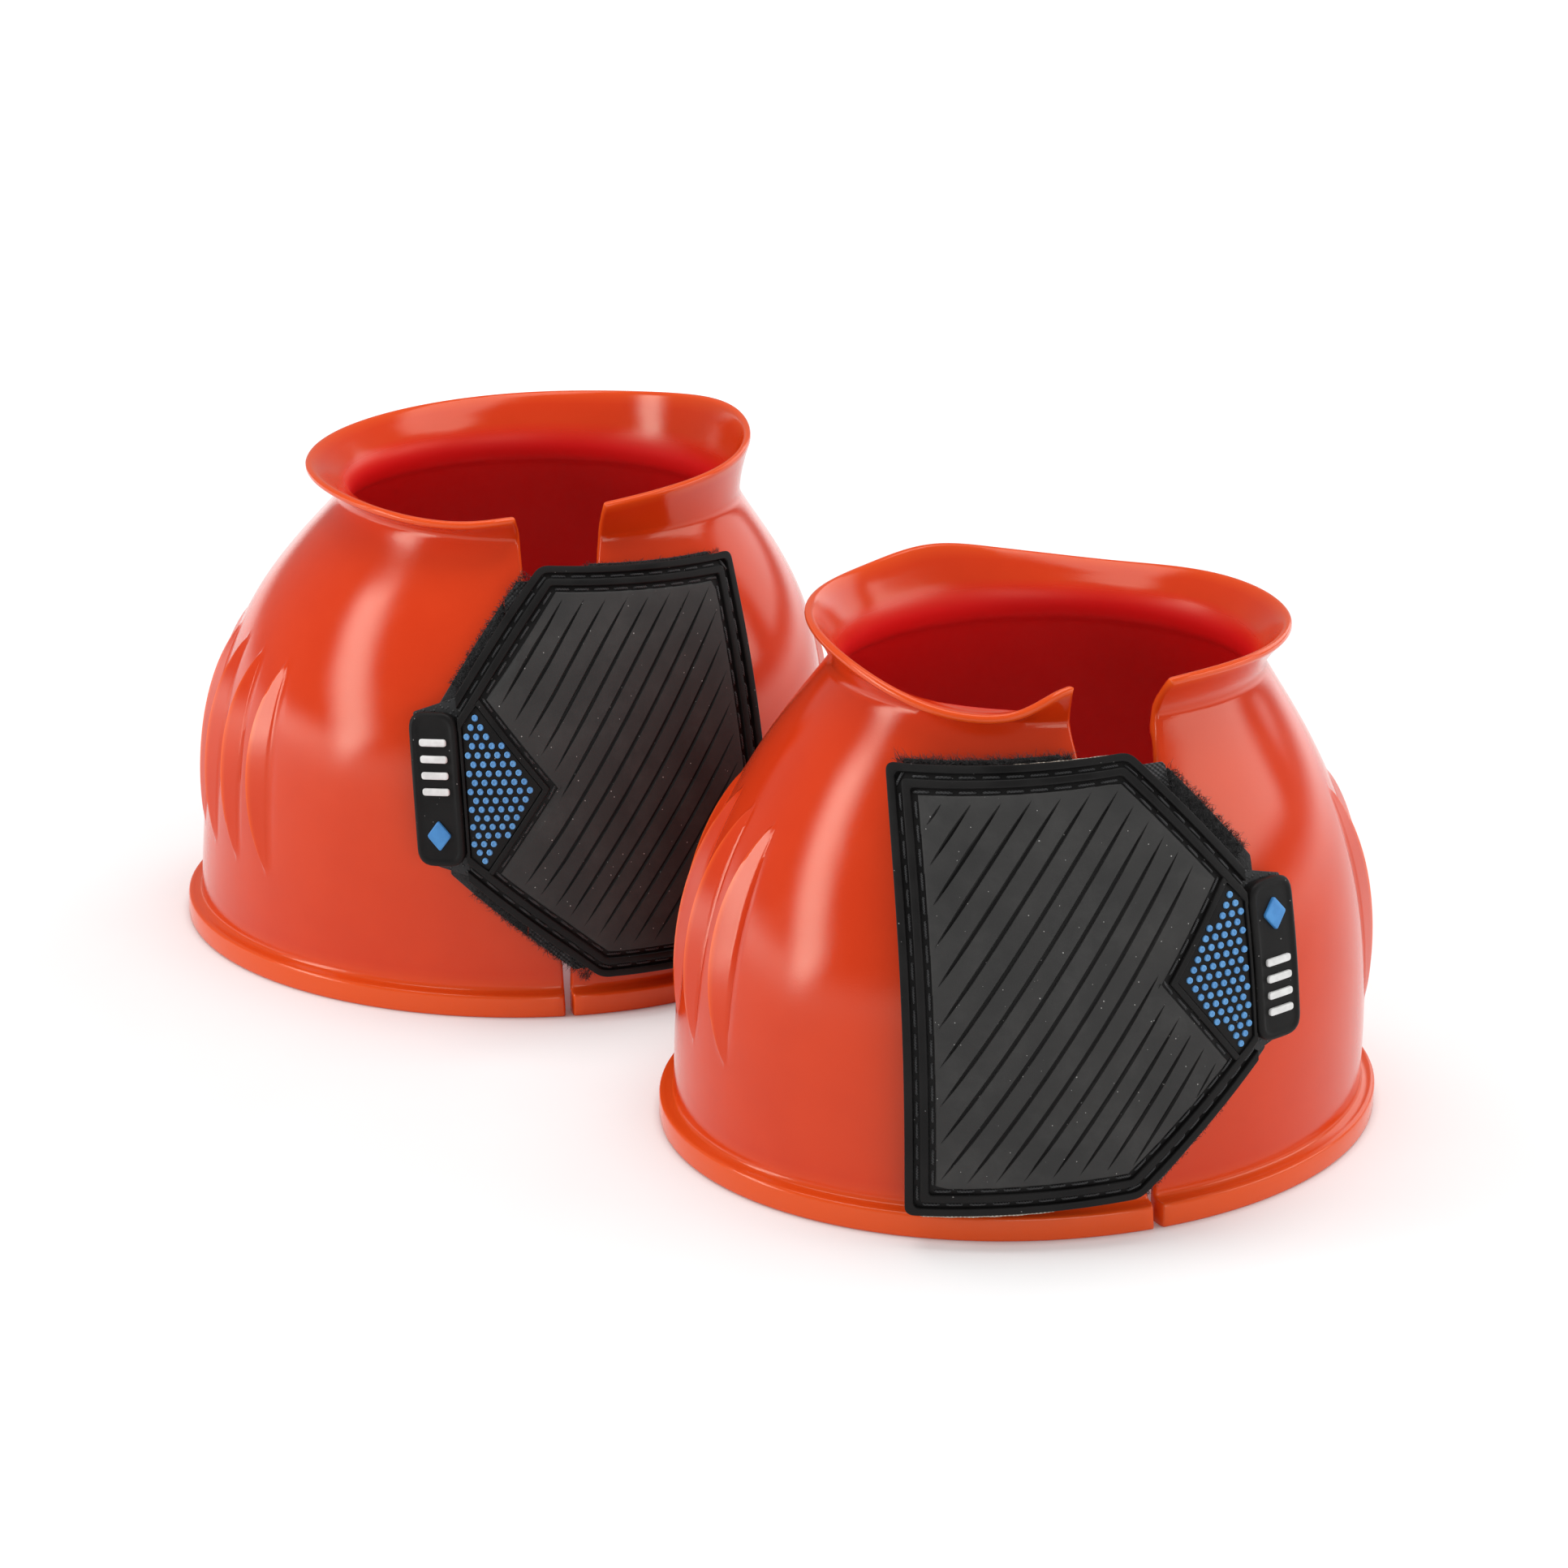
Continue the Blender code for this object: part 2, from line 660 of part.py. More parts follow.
def make_layer(boot, name, finish_name, work, low_off, leaned=False):
    """Cuts, bends and names a flat layer whose underside lies at low_off."""
    bmesh.ops.triangulate(work, faces=[face for face in work.faces if len(face.verts) > 4])
    places = np.array([vert.co for vert in work.verts])
    cut_lattice(work, places.min(axis=0), places.max(axis=0))
    bend(boot, work, low_off, leaned)
    return add_mesh(boot, name, work, finish_name)


def make_thread(boot, name, path, off, leaned=False):
    """Round thread along a flat path, bent round the bell with the layer that it holds."""
    places = []
    for start, end in zip(path, path[1:]):
        start, end = np.array(start), np.array(end)
        count = max(1, round(float(np.linalg.norm(end - start)) / THREAD_STEP))
        places += [start + (end - start) * i / count for i in range(count)]
    places = np.array(places + [np.array(path[-1])])
    u, z = places[:, 0], places[:, 1]
    if leaned:
        u, z = lean(boot, u, z)
    curve = bpy.data.curves.new(name, "CURVE")
    curve.dimensions = "3D"
    curve.bevel_depth = THREAD_RADIUS
    curve.bevel_resolution = 0
    curve.use_fill_caps = True
    line = curve.splines.new("POLY")
    line.points.add(len(places) - 1)
    for point, place in zip(line.points, wrap(boot, u, z, off)):
        point.co = (*place, 1)
    return add_object(boot["name"] + "_" + name, curve, "thread")


def strap_outline():
    """Corners of the outer strap, anticlockwise from the foot of its flat edge."""
    top = STRAP_FOOT + STRAP_HEIGHT
    return [
        (-FLAT_EDGE_FOOT, STRAP_FOOT),
        (STRAP_SHOULDER_FOOT, STRAP_FOOT + STRAP_RISE_FOOT),
        (STRAP_TIP, TIP_MIDDLE - TIP_HEIGHT / 2),
        (STRAP_TIP, TIP_MIDDLE + TIP_HEIGHT / 2),
        (STRAP_SHOULDER_TOP, top),
        (-FLAT_EDGE_TOP, top - STRAP_RISE_TOP),
    ]


def lining_outline():
    """The outer strap's outline with its end run on under the pull tab."""
    corners = strap_outline()
    end = STRAP_TIP + LAYER_GAP + TAB_LENGTH
    low = (end, TIP_MIDDLE - TAB_HEIGHT / 2)
    high = (end, TIP_MIDDLE + TAB_HEIGHT / 2)
    return corners[:3] + [low, high] + corners[3:]


def rectangle(start, end, foot, top):
    return [(start, foot), (end, foot), (end, top), (start, top)]


def tab_outline():
    start = STRAP_TIP + LAYER_GAP
    return rectangle(start, start + TAB_LENGTH, TIP_MIDDLE - TAB_HEIGHT / 2, TIP_MIDDLE + TAB_HEIGHT / 2)


def insert_outline():
    """Grip insert, its point towards the flat edge, anticlockwise from the point."""
    return [
        (INSERT_POINT, TIP_MIDDLE),
        (INSERT_SHOULDER, TIP_MIDDLE - INSERT_HALF_HEIGHT),
        (INSERT_END, TIP_MIDDLE - INSERT_END_HALF_HEIGHT),
        (INSERT_END, TIP_MIDDLE + INSERT_END_HALF_HEIGHT),
        (INSERT_SHOULDER, TIP_MIDDLE + INSERT_HALF_HEIGHT),
    ]


def outer_row_paths():
    """The outer channel's two runs: round the foot shoulder and round the top shoulder, to the tip."""
    flat_foot, shoulder_foot, tip_foot, tip_top, shoulder_top, flat_top = strap_outline()
    inset = LIP_WIDTH + CHANNEL_WIDTH / 2
    foot = displaced([flat_foot, shoulder_foot, tip_foot], [inset, inset])
    top = displaced([tip_top, shoulder_top, flat_top], [inset, inset])
    return shortened(foot, CHANNEL_END, 0), shortened(top, 0, CHANNEL_END)


def inner_row_path():
    """The inner channel: inside the outer one along the sides, and round the insert's point."""
    flat_foot, shoulder_foot, tip_foot, tip_top, shoulder_top, flat_top = strap_outline()
    point, low, _, _, high = insert_outline()
    side = LIP_WIDTH + CHANNEL_WIDTH + RIB_WIDTH + CHANNEL_WIDTH / 2
    round_insert = INSERT_SEAM + CHANNEL_WIDTH / 2
    foot = displaced([flat_foot, shoulder_foot, tip_foot], [side, side])
    top = displaced([tip_top, shoulder_top, flat_top], [side, side])
    beside = displaced([low, point, high], [round_insert, round_insert])
    turn_low = path_meeting(foot[1:], beside[:2])
    turn_high = path_meeting(top[:2], beside[1:])
    path = [foot[0], foot[1], turn_low, beside[1], turn_high, top[1], top[2]]
    return shortened(path, CHANNEL_END, CHANNEL_END)


def path_meeting(first, second):
    a, b = (Vector(point) for point in first)
    c, d = (Vector(point) for point in second)
    return tuple(line_meeting(a, b, c, d))


def shortened(path, at_start, at_end):
    """A path with a length taken off each end."""
    first, second = Vector(path[0]), Vector(path[1])
    last, before = Vector(path[-1]), Vector(path[-2])
    start = first + (second - first).normalized() * at_start
    end = last + (before - last).normalized() * at_end
    return [tuple(start)] + list(path[1:-1]) + [tuple(end)]


def lengthened(path, at_start, at_end):
    return shortened(path, -at_start, -at_end)


# The pieces of one boot's closure


def make_overlay(boot):
    """Rubber face of the outer strap, with its channels, sunk field and insert's pocket."""
    over = OVERLAY_THICK + OVERRUN
    channel_floor = OVERLAY_THICK - CHANNEL_DEPTH
    foot, top = outer_row_paths()
    inner = inner_row_path()
    half = CHANNEL_WIDTH / 2
    work = flat_plate(strap_outline(), OVERLAY_THICK, CORNER_RADIUS)
    cutters = [
        (ribbon(lengthened(foot, 0, OVERRUN), half), channel_floor, over),
        (ribbon(lengthened(top, OVERRUN, 0), half), channel_floor, over),
        (inner, OVERLAY_THICK - FIELD_DROP, over),
        (ribbon(inner, half), channel_floor, over),
        (insert_outline(), OVERLAY_THICK - POCKET_DEPTH, over),
    ]
    work = cut_out(work, cutters)
    return make_layer(boot, "strap_overlay", "strap_rubber", work, OVERLAY_LOW, True)


def make_lining(boot):
    work = flat_plate(lining_outline(), LINING_THICK)
    return make_layer(boot, "strap_hook_lining", "hook_tape", work, LINING_LOW, True)


def make_insert(boot):
    floor = OVERLAY_LOW + OVERLAY_THICK - POCKET_DEPTH
    work = flat_plate(grown(insert_outline(), -LAYER_GAP), INSERT_THICK)
    return make_layer(boot, "grip_insert", "grip_rubber", work, floor + LAYER_GAP, True)


def make_tab(boot):
    """Pull tab at the strap's free end: a raised rim round a sunk floor."""
    thick = OVERLAY_THICK + TAB_PROUD
    work = flat_plate(tab_outline(), thick, TAB_CORNER)
    floor = grown(tab_outline(), -TAB_RIM)
    work = cut_out(work, [(floor, thick - TAB_FLOOR_DEPTH, thick + OVERRUN)])
    return make_layer(boot, "pull_tab", "strap_rubber", work, OVERLAY_LOW, True)


def tab_floor():
    return OVERLAY_LOW + OVERLAY_THICK + TAB_PROUD - TAB_FLOOR_DEPTH + LAYER_GAP


def make_badge(boot):
    """Plain blue lozenge in the upper part of the tab's floor; the left strap lies the other way up."""
    middle = STRAP_TIP + LAYER_GAP + TAB_LENGTH / 2
    high = TIP_MIDDLE + boot["strap_up"] * BADGE_RISE
    corners = [
        (middle, high - BADGE_HALF_HEIGHT),
        (middle + BADGE_HALF_LENGTH, high),
        (middle, high + BADGE_HALF_HEIGHT),
        (middle - BADGE_HALF_LENGTH, high),
    ]
    work = flat_plate(corners, BADGE_THICK)
    return make_layer(boot, "tab_badge", "badge_blue", work, tab_floor(), True)


def make_bars(boot):
    """White grip bars on one thin base, in the lower part of the tab's floor."""
    middle = STRAP_TIP + LAYER_GAP + TAB_LENGTH / 2
    half_run = (BARS - 1) * BAR_PITCH / 2 + BAR_HEIGHT / 2
    run_middle = TIP_MIDDLE - boot["strap_up"] * BAR_MIDDLE_DROP
    low = run_middle - half_run
    high = run_middle + half_run
    start, end = middle - BAR_LENGTH / 2, middle + BAR_LENGTH / 2
    base = rectangle(start - BAR_MARGIN, end + BAR_MARGIN, low - BAR_MARGIN, high + BAR_MARGIN)
    thick = BAR_BASE_THICK + BAR_THICK
    work = flat_plate(base, thick)
    cutters = []
    for i in range(BARS - 1):
        foot = low + BAR_HEIGHT + i * BAR_PITCH
        cutters.append(rectangle(start - OVERRUN, end + OVERRUN, foot, foot + BAR_PITCH - BAR_HEIGHT))
    work = cut_out(work, [(outline, BAR_BASE_THICK, thick + OVERRUN) for outline in cutters])
    return make_layer(boot, "tab_grip_bars", "bar_white", work, tab_floor(), True)


def make_near_patch(boot):
    """Loop patch sewn to the flap that carries the outer strap."""
    foot, top = strap_outline()[0], strap_outline()[-1]
    start_foot = foot[0] + ANCHOR_WIDTH + PATCH_MARGIN
    start_top = top[0] + ANCHOR_WIDTH + PATCH_MARGIN
    corners = [(start_foot, PATCH_FOOT), (-PATCH_END, PATCH_FOOT), (-PATCH_END, PATCH_TOP), (start_top, PATCH_TOP)]
    work = flat_plate(corners, PATCH_THICK, CORNER_RADIUS)
    return make_layer(boot, "near_loop_patch", "loop_pile", work, PATCH_LOW, True)


def make_anchor(boot):
    """Sewn strip that fills the layers under the outer strap's flat edge."""
    foot, top = strap_outline()[0], strap_outline()[-1]
    corners = [foot, (foot[0] + ANCHOR_WIDTH, foot[1]), (top[0] + ANCHOR_WIDTH, top[1]), top]
    work = flat_plate(corners, LINING_LOW - LAYER_GAP - PATCH_LOW)
    return make_layer(boot, "strap_anchor", "webbing", work, PATCH_LOW, True)


def inner_edges():
    """The inner strap's two slanting edges, a margin outside the outer strap's diagonals."""
    _, shoulder_foot, tip_foot, tip_top, shoulder_top, _ = strap_outline()
    foot = displaced([shoulder_foot, tip_foot], [-BASE_MARGIN])
    top = displaced([tip_top, shoulder_top], [-BASE_MARGIN])
    return foot, top


def base_outline(start):
    foot, top = inner_edges()
    end = STRAP_TIP + BASE_UNDER_TAB
    return [upright_place(foot, u) for u in (start, end)] + [upright_place(top, u) for u in (end, start)]


def inner_outline(end):
    """The inner strap's free part, from its square end to its seam."""
    foot, top = inner_edges()
    near = [(-INNER_END, INNER_FOOT), level_place(foot, INNER_FOOT), upright_place(foot, end)]
    return near + [upright_place(top, end), level_place(top, INNER_TOP), (-INNER_END, INNER_TOP)]


def level_place(line, z):
    (u0, z0), (u1, z1) = line
    return (u0 + (u1 - u0) * (z - z0) / (z1 - z0), z)


def upright_place(line, u):
    (u0, z0), (u1, z1) = line
    return (u, z0 + (z1 - z0) * (u - u0) / (u1 - u0))


def make_base(boot):
    """Pile-faced webbing sewn on the far flap, which carries the inner strap at its seam."""
    work = flat_plate(base_outline(SEAM + SEAM_GAP / 2), INNER_STRAP_LOW + INNER_STRAP_THICK - PATCH_LOW)
    return make_layer(boot, "inner_strap_base", "loop_pile", work, PATCH_LOW, True)


def make_inner_strap(boot):
    work = flat_plate(inner_outline(SEAM - SEAM_GAP / 2), INNER_STRAP_THICK)
    return make_layer(boot, "inner_strap", "webbing", work, INNER_STRAP_LOW, True)


def make_inner_hook(boot):
    """Hook face under the inner strap's free part, which lands on the near patch."""
    work = flat_plate(rectangle(-INNER_END, -PATCH_END, INNER_FOOT, INNER_TOP), INNER_HOOK_THICK)
    return make_layer(boot, "inner_strap_hook_face", "hook_tape", work, INNER_HOOK_LOW, True)


def make_threads(boot):
    """Stitch rows in the outer strap's channels; returns the objects that move with it."""
    off = OVERLAY_LOW + OVERLAY_THICK - CHANNEL_DEPTH + LAYER_GAP + THREAD_RADIUS
    margin = CHANNEL_WIDTH / 2
    foot, top = outer_row_paths()
    inner = inner_row_path()
    return [
        make_thread(boot, "stitch_row_foot", shortened(foot, margin, margin), off, True),
        make_thread(boot, "stitch_row_top", shortened(top, margin, margin), off, True),
        make_thread(boot, "stitch_row_inner", shortened(inner, margin, margin), off, True),
    ]


def make_outer_strap(boot):
    pieces = [make_overlay(boot), make_lining(boot), make_insert(boot), make_tab(boot)]
    pieces += [make_badge(boot), make_bars(boot)]
    pieces += make_threads(boot)
    corners = strap_outline()
    axis = peel_axis(boot, corners[0], corners[-1], ANCHOR_WIDTH, LINING_LOW)
    return hang_on(boot, "outer_strap_hinge", axis, pieces)


def make_inner_flap(boot):
    pieces = [make_inner_strap(boot), make_inner_hook(boot)]
    seam = SEAM - SEAM_GAP / 2
    foot, top = inner_edges()
    off = INNER_STRAP_LOW + INNER_STRAP_THICK
    axis = peel_axis(boot, upright_place(foot, seam), upright_place(top, seam), -ANCHOR_WIDTH, off)
    return hang_on(boot, "inner_strap_hinge", axis, pieces)


def make_boot(boot):
    make_shell(boot)
    make_near_patch(boot)
    make_anchor(boot)
    make_base(boot)
    make_outer_strap(boot)
    make_inner_flap(boot)


clear_scene()
make_boot(RIGHT_BOOT)
make_boot(LEFT_BOOT)
stand_at_origin()
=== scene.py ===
# %% [markdown]
# A standing pair of moulded bell boots, which keep a horse's hind hooves off its front heels. This lesson dresses
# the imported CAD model: every soft CAD solid is replaced by a finer surface that lies in the same place.

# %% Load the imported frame
import math

import bmesh
import bpy
import numpy as np
from mathutils import Matrix


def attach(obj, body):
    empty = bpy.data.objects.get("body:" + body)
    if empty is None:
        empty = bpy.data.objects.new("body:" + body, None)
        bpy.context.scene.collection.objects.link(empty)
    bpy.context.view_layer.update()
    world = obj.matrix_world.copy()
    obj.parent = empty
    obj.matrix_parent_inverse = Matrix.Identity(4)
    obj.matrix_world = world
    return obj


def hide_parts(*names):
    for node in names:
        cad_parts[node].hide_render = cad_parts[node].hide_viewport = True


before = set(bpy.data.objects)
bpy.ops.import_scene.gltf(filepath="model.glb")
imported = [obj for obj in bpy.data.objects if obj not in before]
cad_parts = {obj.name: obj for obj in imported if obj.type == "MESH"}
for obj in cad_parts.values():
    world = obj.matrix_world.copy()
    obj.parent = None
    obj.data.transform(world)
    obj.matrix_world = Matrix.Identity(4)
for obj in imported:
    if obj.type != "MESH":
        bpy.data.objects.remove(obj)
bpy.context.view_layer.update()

# %% [markdown]
# The camera comes first, so that every piece can be judged from the photograph's place. Its lens was fitted to the
# two boots: a long lens from a little above, with no shift.

# %% Camera
sensor, focal_pixels, picture_pixels = 36, 4600, 1932
eye = bpy.data.cameras.new("photo_camera")
eye.lens = sensor * focal_pixels / picture_pixels
eye.sensor_width = sensor
eye.clip_end = 500
camera = bpy.data.objects.new("photo_camera", eye)
camera.location = (0.010057, -0.884147, 0.379253)
camera.rotation_euler = (math.radians(70.07934), 0, 0)
bpy.context.collection.objects.link(camera)
bpy.context.scene.camera = camera
bpy.context.scene.view_settings.view_transform = "Standard"
print("lens", round(eye.lens, 2), "mm")

# %% [markdown]
# Points, faces and finishes all go through three helpers. A surface is a grid of points, row by row, and its
# quads join neighbours. Some grids close on themselves, as a tube does, and ends that shrink to one point are
# welded, so that every piece is a closed skin whose faces look outwards.

# %% Grids to meshes
def quads(rows, columns, close_rows=False, close_columns=False):
    """Corner numbers of the faces between neighbours in a grid whose points are numbered row by row."""
    number = np.arange(rows * columns).reshape(rows, columns)
    if close_rows:
        number = np.concatenate([number, number[:1]])
    if close_columns:
        number = np.concatenate([number, number[:, :1]], axis=1)
    corners = (number[:-1, :-1], number[:-1, 1:], number[1:, 1:], number[1:, :-1])
    return np.stack(corners, axis=-1).reshape(-1, 4)


def closed_sheet(faces, count):
    """Joins a sheet to its copy numbered count higher: the copy faces the other way, and a wall of quads stands
    on every edge that only one face uses."""
    starts, ends = faces.ravel(), np.roll(faces, -1, axis=1).ravel()
    lone = ~np.isin(starts * count + ends, ends * count + starts)
    a, b = starts[lone], ends[lone]
    wall = np.stack([a + count, b + count, b, a], axis=1)
    return np.concatenate([faces, faces[:, ::-1] + count, wall])


def make_piece(name, points, faces, finish, mirrored=False, weld=False, sharp=40.0, values=None):
    """One mesh object from arrays; values are numbers or vectors kept on its points for the materials."""
    faces = faces[:, ::-1] if mirrored else faces
    mesh = bpy.data.meshes.new(name)
    mesh.vertices.add(len(points))
    mesh.vertices.foreach_set("co", np.asarray(points, np.float32).ravel())
    mesh.loops.add(faces.size)
    mesh.loops.foreach_set("vertex_index", faces.astype(np.int32).ravel())
    mesh.polygons.add(len(faces))
    mesh.polygons.foreach_set("loop_start", np.arange(0, faces.size, faces.shape[1], dtype=np.int32))
    mesh.update(calc_edges=True)
    for key, value in (values or {}).items():
        value = np.asarray(value, np.float32)
        kind = "FLOAT" if value.ndim == 1 else "FLOAT_VECTOR"
        held = mesh.attributes.new(key, kind, "POINT")
        held.data.foreach_set("value" if value.ndim == 1 else "vector", value.ravel())
    if weld:
        work = bmesh.new()
        work.from_mesh(mesh)
        bmesh.ops.remove_doubles(work, verts=work.verts, dist=0.0000005)
        work.to_mesh(mesh)
        work.free()
    mesh.shade_smooth()
    mesh.set_sharp_from_angle(angle=math.radians(sharp))
    mesh.materials.append(finish)
    made = bpy.data.objects.new(name, mesh)
    bpy.context.collection.objects.link(made)
    print(name, len(mesh.polygons), "faces")
    return made


# %% [markdown]
# The bell is soft rubber on an oval foot. Its skin is a function of an angle and a height, with the same numbers
# as the CAD: a long half-axis that falls from foot to neck by a power law, and a collar that flares above it.
# Each boot has settled a little differently, so each has its own set of numbers.

# %% The two boots
foot_radius, foot_oval, neck_oval = 0.0842, 0.862, 0.929
wall, lip_wall = 0.0028, 0.0020
strap_foot, strap_height = 0.0093, 0.1012
boots = {
    "right": dict(
        side=1, place=(0.06659, -0.05961), turn=20.3, neck_height=0.1120, neck_radius=0.0510, neck_shift=0.0045,
        shift_power=2.0, rise=3.1, fall=1.16, slit_foot=21.3, slit_neck=14.5, lip_height=0.1223, lip_tilt=0.0015,
        tilt_angle=-60.0, flare_tilt=0.0, lean=1.0, shift=0.0, stretch=1.0, squeeze=1.0, up=1,
        lip_waves=[(-22.0, -0.0104, 34.0), (2.0, 0.0045, 9.0), (-151.0, 0.0027, 18.0), (160.0, -0.0020, 24.0)],
    ),
    "left": dict(
        side=-1, place=(-0.06661, 0.06519), turn=-20.6, neck_height=0.1180, neck_radius=0.0530, neck_shift=0.0125,
        shift_power=1.2, rise=4.5, fall=1.30, slit_foot=16.5, slit_neck=9.0, lip_height=0.1285, lip_tilt=0.0035,
        tilt_angle=110.0, flare_tilt=-0.0029, lean=-3.0, shift=0.0018, stretch=1.054, squeeze=0.92, up=-1,
        lip_waves=[(-18.0, -0.0042, 34.0), (-3.0, 0.0006, 9.0), (112.0, 0.0032, 34.0)],
    ),
}
print("boots:", ", ".join(boots))


# %% The bell's skin
def profile(boot, z):
    """Long half-axis at height z, its oval share, and the share of the neck's height: neck radius plus what the
    foot is wider, times one minus the share to the power rise, all to the power fall."""
    share = np.clip(z / boot["neck_height"], 0, 1)
    neck = boot["neck_radius"]
    long_axis = neck + (foot_radius - neck) * (1 - share ** boot["rise"]) ** boot["fall"]
    return long_axis, foot_oval + (neck_oval - foot_oval) * share, share


def lip_height(boot, angle):
    """Height of the collar's edge: a cosine tilt, plus bell-shaped waves, each with an angle, a height and a
    width."""
    height = boot["lip_height"] + boot["lip_tilt"] * np.cos(np.radians(angle - boot["tilt_angle"]))
    for middle, rise, width in boot["lip_waves"]:
        away = (angle - middle + 180) % 360 - 180
        height = height + rise * np.exp(-((away / width) ** 2))
    return height


def raw_skin(boot, angle, z):
    """Point at an angle (0 in front, 90 to the right) and a height: the oval's radius, plus the collar's flare."""
    long_axis, oval, share = profile(boot, z)
    above = (z - boot["neck_height"]) / (lip_height(boot, angle) - boot["neck_height"])
    flare = (0.0062 + boot["flare_tilt"] * np.sin(np.radians(angle))) * np.clip(above, 0, 1.15) ** 1.6
    turned = np.radians(angle - boot["turn"])
    radius = flare + 1 / np.sqrt((np.sin(turned) / long_axis) ** 2 + (np.cos(turned) / (long_axis * oval)) ** 2)
    x = boot["place"][0] + boot["neck_shift"] * share ** boot["shift_power"] + radius * np.sin(np.radians(angle))
    y = boot["place"][1] - radius * np.cos(np.radians(angle))
    return np.stack(np.broadcast_arrays(x, y, z), axis=-1)


def skin(boot, angle, z, off):
    """Point that stands off the skin along its normal, which is the cross product of two short steps."""
    angle, z, off = np.broadcast_arrays(np.asarray(angle, float), np.asarray(z, float), np.asarray(off, float))
    step, turn_step = foot_radius * 0.002, math.degrees(0.002)
    along = raw_skin(boot, angle + turn_step, z) - raw_skin(boot, angle - turn_step, z)
    up = raw_skin(boot, angle, np.maximum(z, 0) + step) - raw_skin(boot, angle, np.maximum(z - step, 0))
    normal = np.cross(along, up)
    normal /= np.linalg.norm(normal, axis=-1, keepdims=True)
    return raw_skin(boot, angle, z) + normal * off[..., None]


def slit_angle(boot, z):
    """Angle of the open slit's middle, which leans a little on its way up."""
    share = np.clip(z / boot["neck_height"], 0, 1.15)
    return boot["slit_foot"] + (boot["slit_neck"] - boot["slit_foot"]) * share


def wrap(boot, flat):
    """Bends flat places (u round the bell from the slit, way up its skin, off it) onto one boot: first the lean
    that this boot's strap has, then the height that the way reaches along the bell's profile."""
    u, way, off = flat[..., 0], flat[..., 1], flat[..., 2]
    angle, middle = math.radians(boot["lean"]), strap_foot + strap_height / 2
    u = np.where(u < 0, u * boot["squeeze"], u)
    turned_u = u * math.cos(angle) - (way - middle) * math.sin(angle) + boot["shift"]
    turned_way = (middle + (way - middle) * math.cos(angle) + u * math.sin(angle)) * boot["stretch"]
    z = np.linspace(0, boot["neck_height"], 400)
    ways = np.concatenate([[0], np.cumsum(np.hypot(np.diff(profile(boot, z)[0]), np.diff(z)))])
    height = np.interp(turned_way, ways, z) + np.maximum(turned_way - ways[-1], 0)
    long_axis, oval, _ = profile(boot, height)
    around = slit_angle(boot, height) + boot["side"] * np.degrees(turned_u / (long_axis * (1 + oval) / 2))
    return skin(boot, around, height, off)


print("right toe", np.round(skin(boots["right"], 0, 0.0, 0.0), 4))

# %% [markdown]
# Finishes are built from a few shared effects, each one a node group that gives a mask or a height: fine grain,
# slow mottling, dust specks and a weave. The shader itself stays in each material.


# %% Shared effects
def effect(name, inputs, outputs):
    """An empty node group with named inputs (with their values) and outputs."""
    group = bpy.data.node_groups.new(name, "ShaderNodeTree")
    for title, value in inputs.items():
        kind = "NodeSocketVector" if value is None else "NodeSocketFloat"
        socket = group.interface.new_socket(title, in_out="INPUT", socket_type=kind)
        if value is not None:
            socket.default_value = value
    for title in outputs:
        group.interface.new_socket(title, in_out="OUTPUT", socket_type="NodeSocketFloat")
    return group, group.nodes.new("NodeGroupInput"), group.nodes.new("NodeGroupOutput")


def fill(tree, socket, value):
    """Joins an output to an input, or sets the input's plain value."""
    if hasattr(value, "is_output"):
        tree.links.new(value, socket)
    else:
        socket.default_value = value


def node(tree, kind, settings=None, **links):
    """Adds a node, sets its own settings, and fills its inputs by name or number."""
    made = tree.nodes.new("ShaderNode" + kind)
    for key, value in (settings or {}).items():
        setattr(made, key, value)
    for key, value in links.items():
        key = int(key[1:]) if key[0] == "i" and key[1:].isdigit() else key.replace("_", " ")
        fill(tree, made.inputs[key], value)
    return made


def maths(tree, operation, *values):
    """One Math node's output."""
    made = node(tree, "Math", {"operation": operation})
    for socket, value in zip(made.inputs, values):
        fill(tree, socket, value)
    return made.outputs[0]


def between(tree, value, low, high, to_low=0.0, to_high=1.0):
    """Turns the span low to high into to_low to to_high, with soft ends."""
    soft = {"interpolation_type": "SMOOTHSTEP"}
    return node(tree, "MapRange", soft, i0=value, i1=low, i2=high, i3=to_low, i4=to_high).outputs[0]


def noise(tree, place, scale, detail=2.0, rough=0.5):
    """Fractal noise, from 0 to 1."""
    return node(tree, "TexNoise", Vector=place, Scale=scale, Detail=detail, Roughness=rough).outputs[0]


# %% Grain, mottling and dust
grain, start, end = effect("rubber_grain", {"Place": None, "Scale": 1500.0, "Waves": 60.0}, ["Height", "Mottle"])
fine = noise(grain, start.outputs["Place"], start.outputs["Scale"], 3.0, 0.6)
slow = noise(grain, start.outputs["Place"], start.outputs["Waves"], 3.0, 0.5)
grain.links.new(fine, end.inputs["Height"])
grain.links.new(between(grain, slow, 0.3, 0.7), end.inputs["Mottle"])

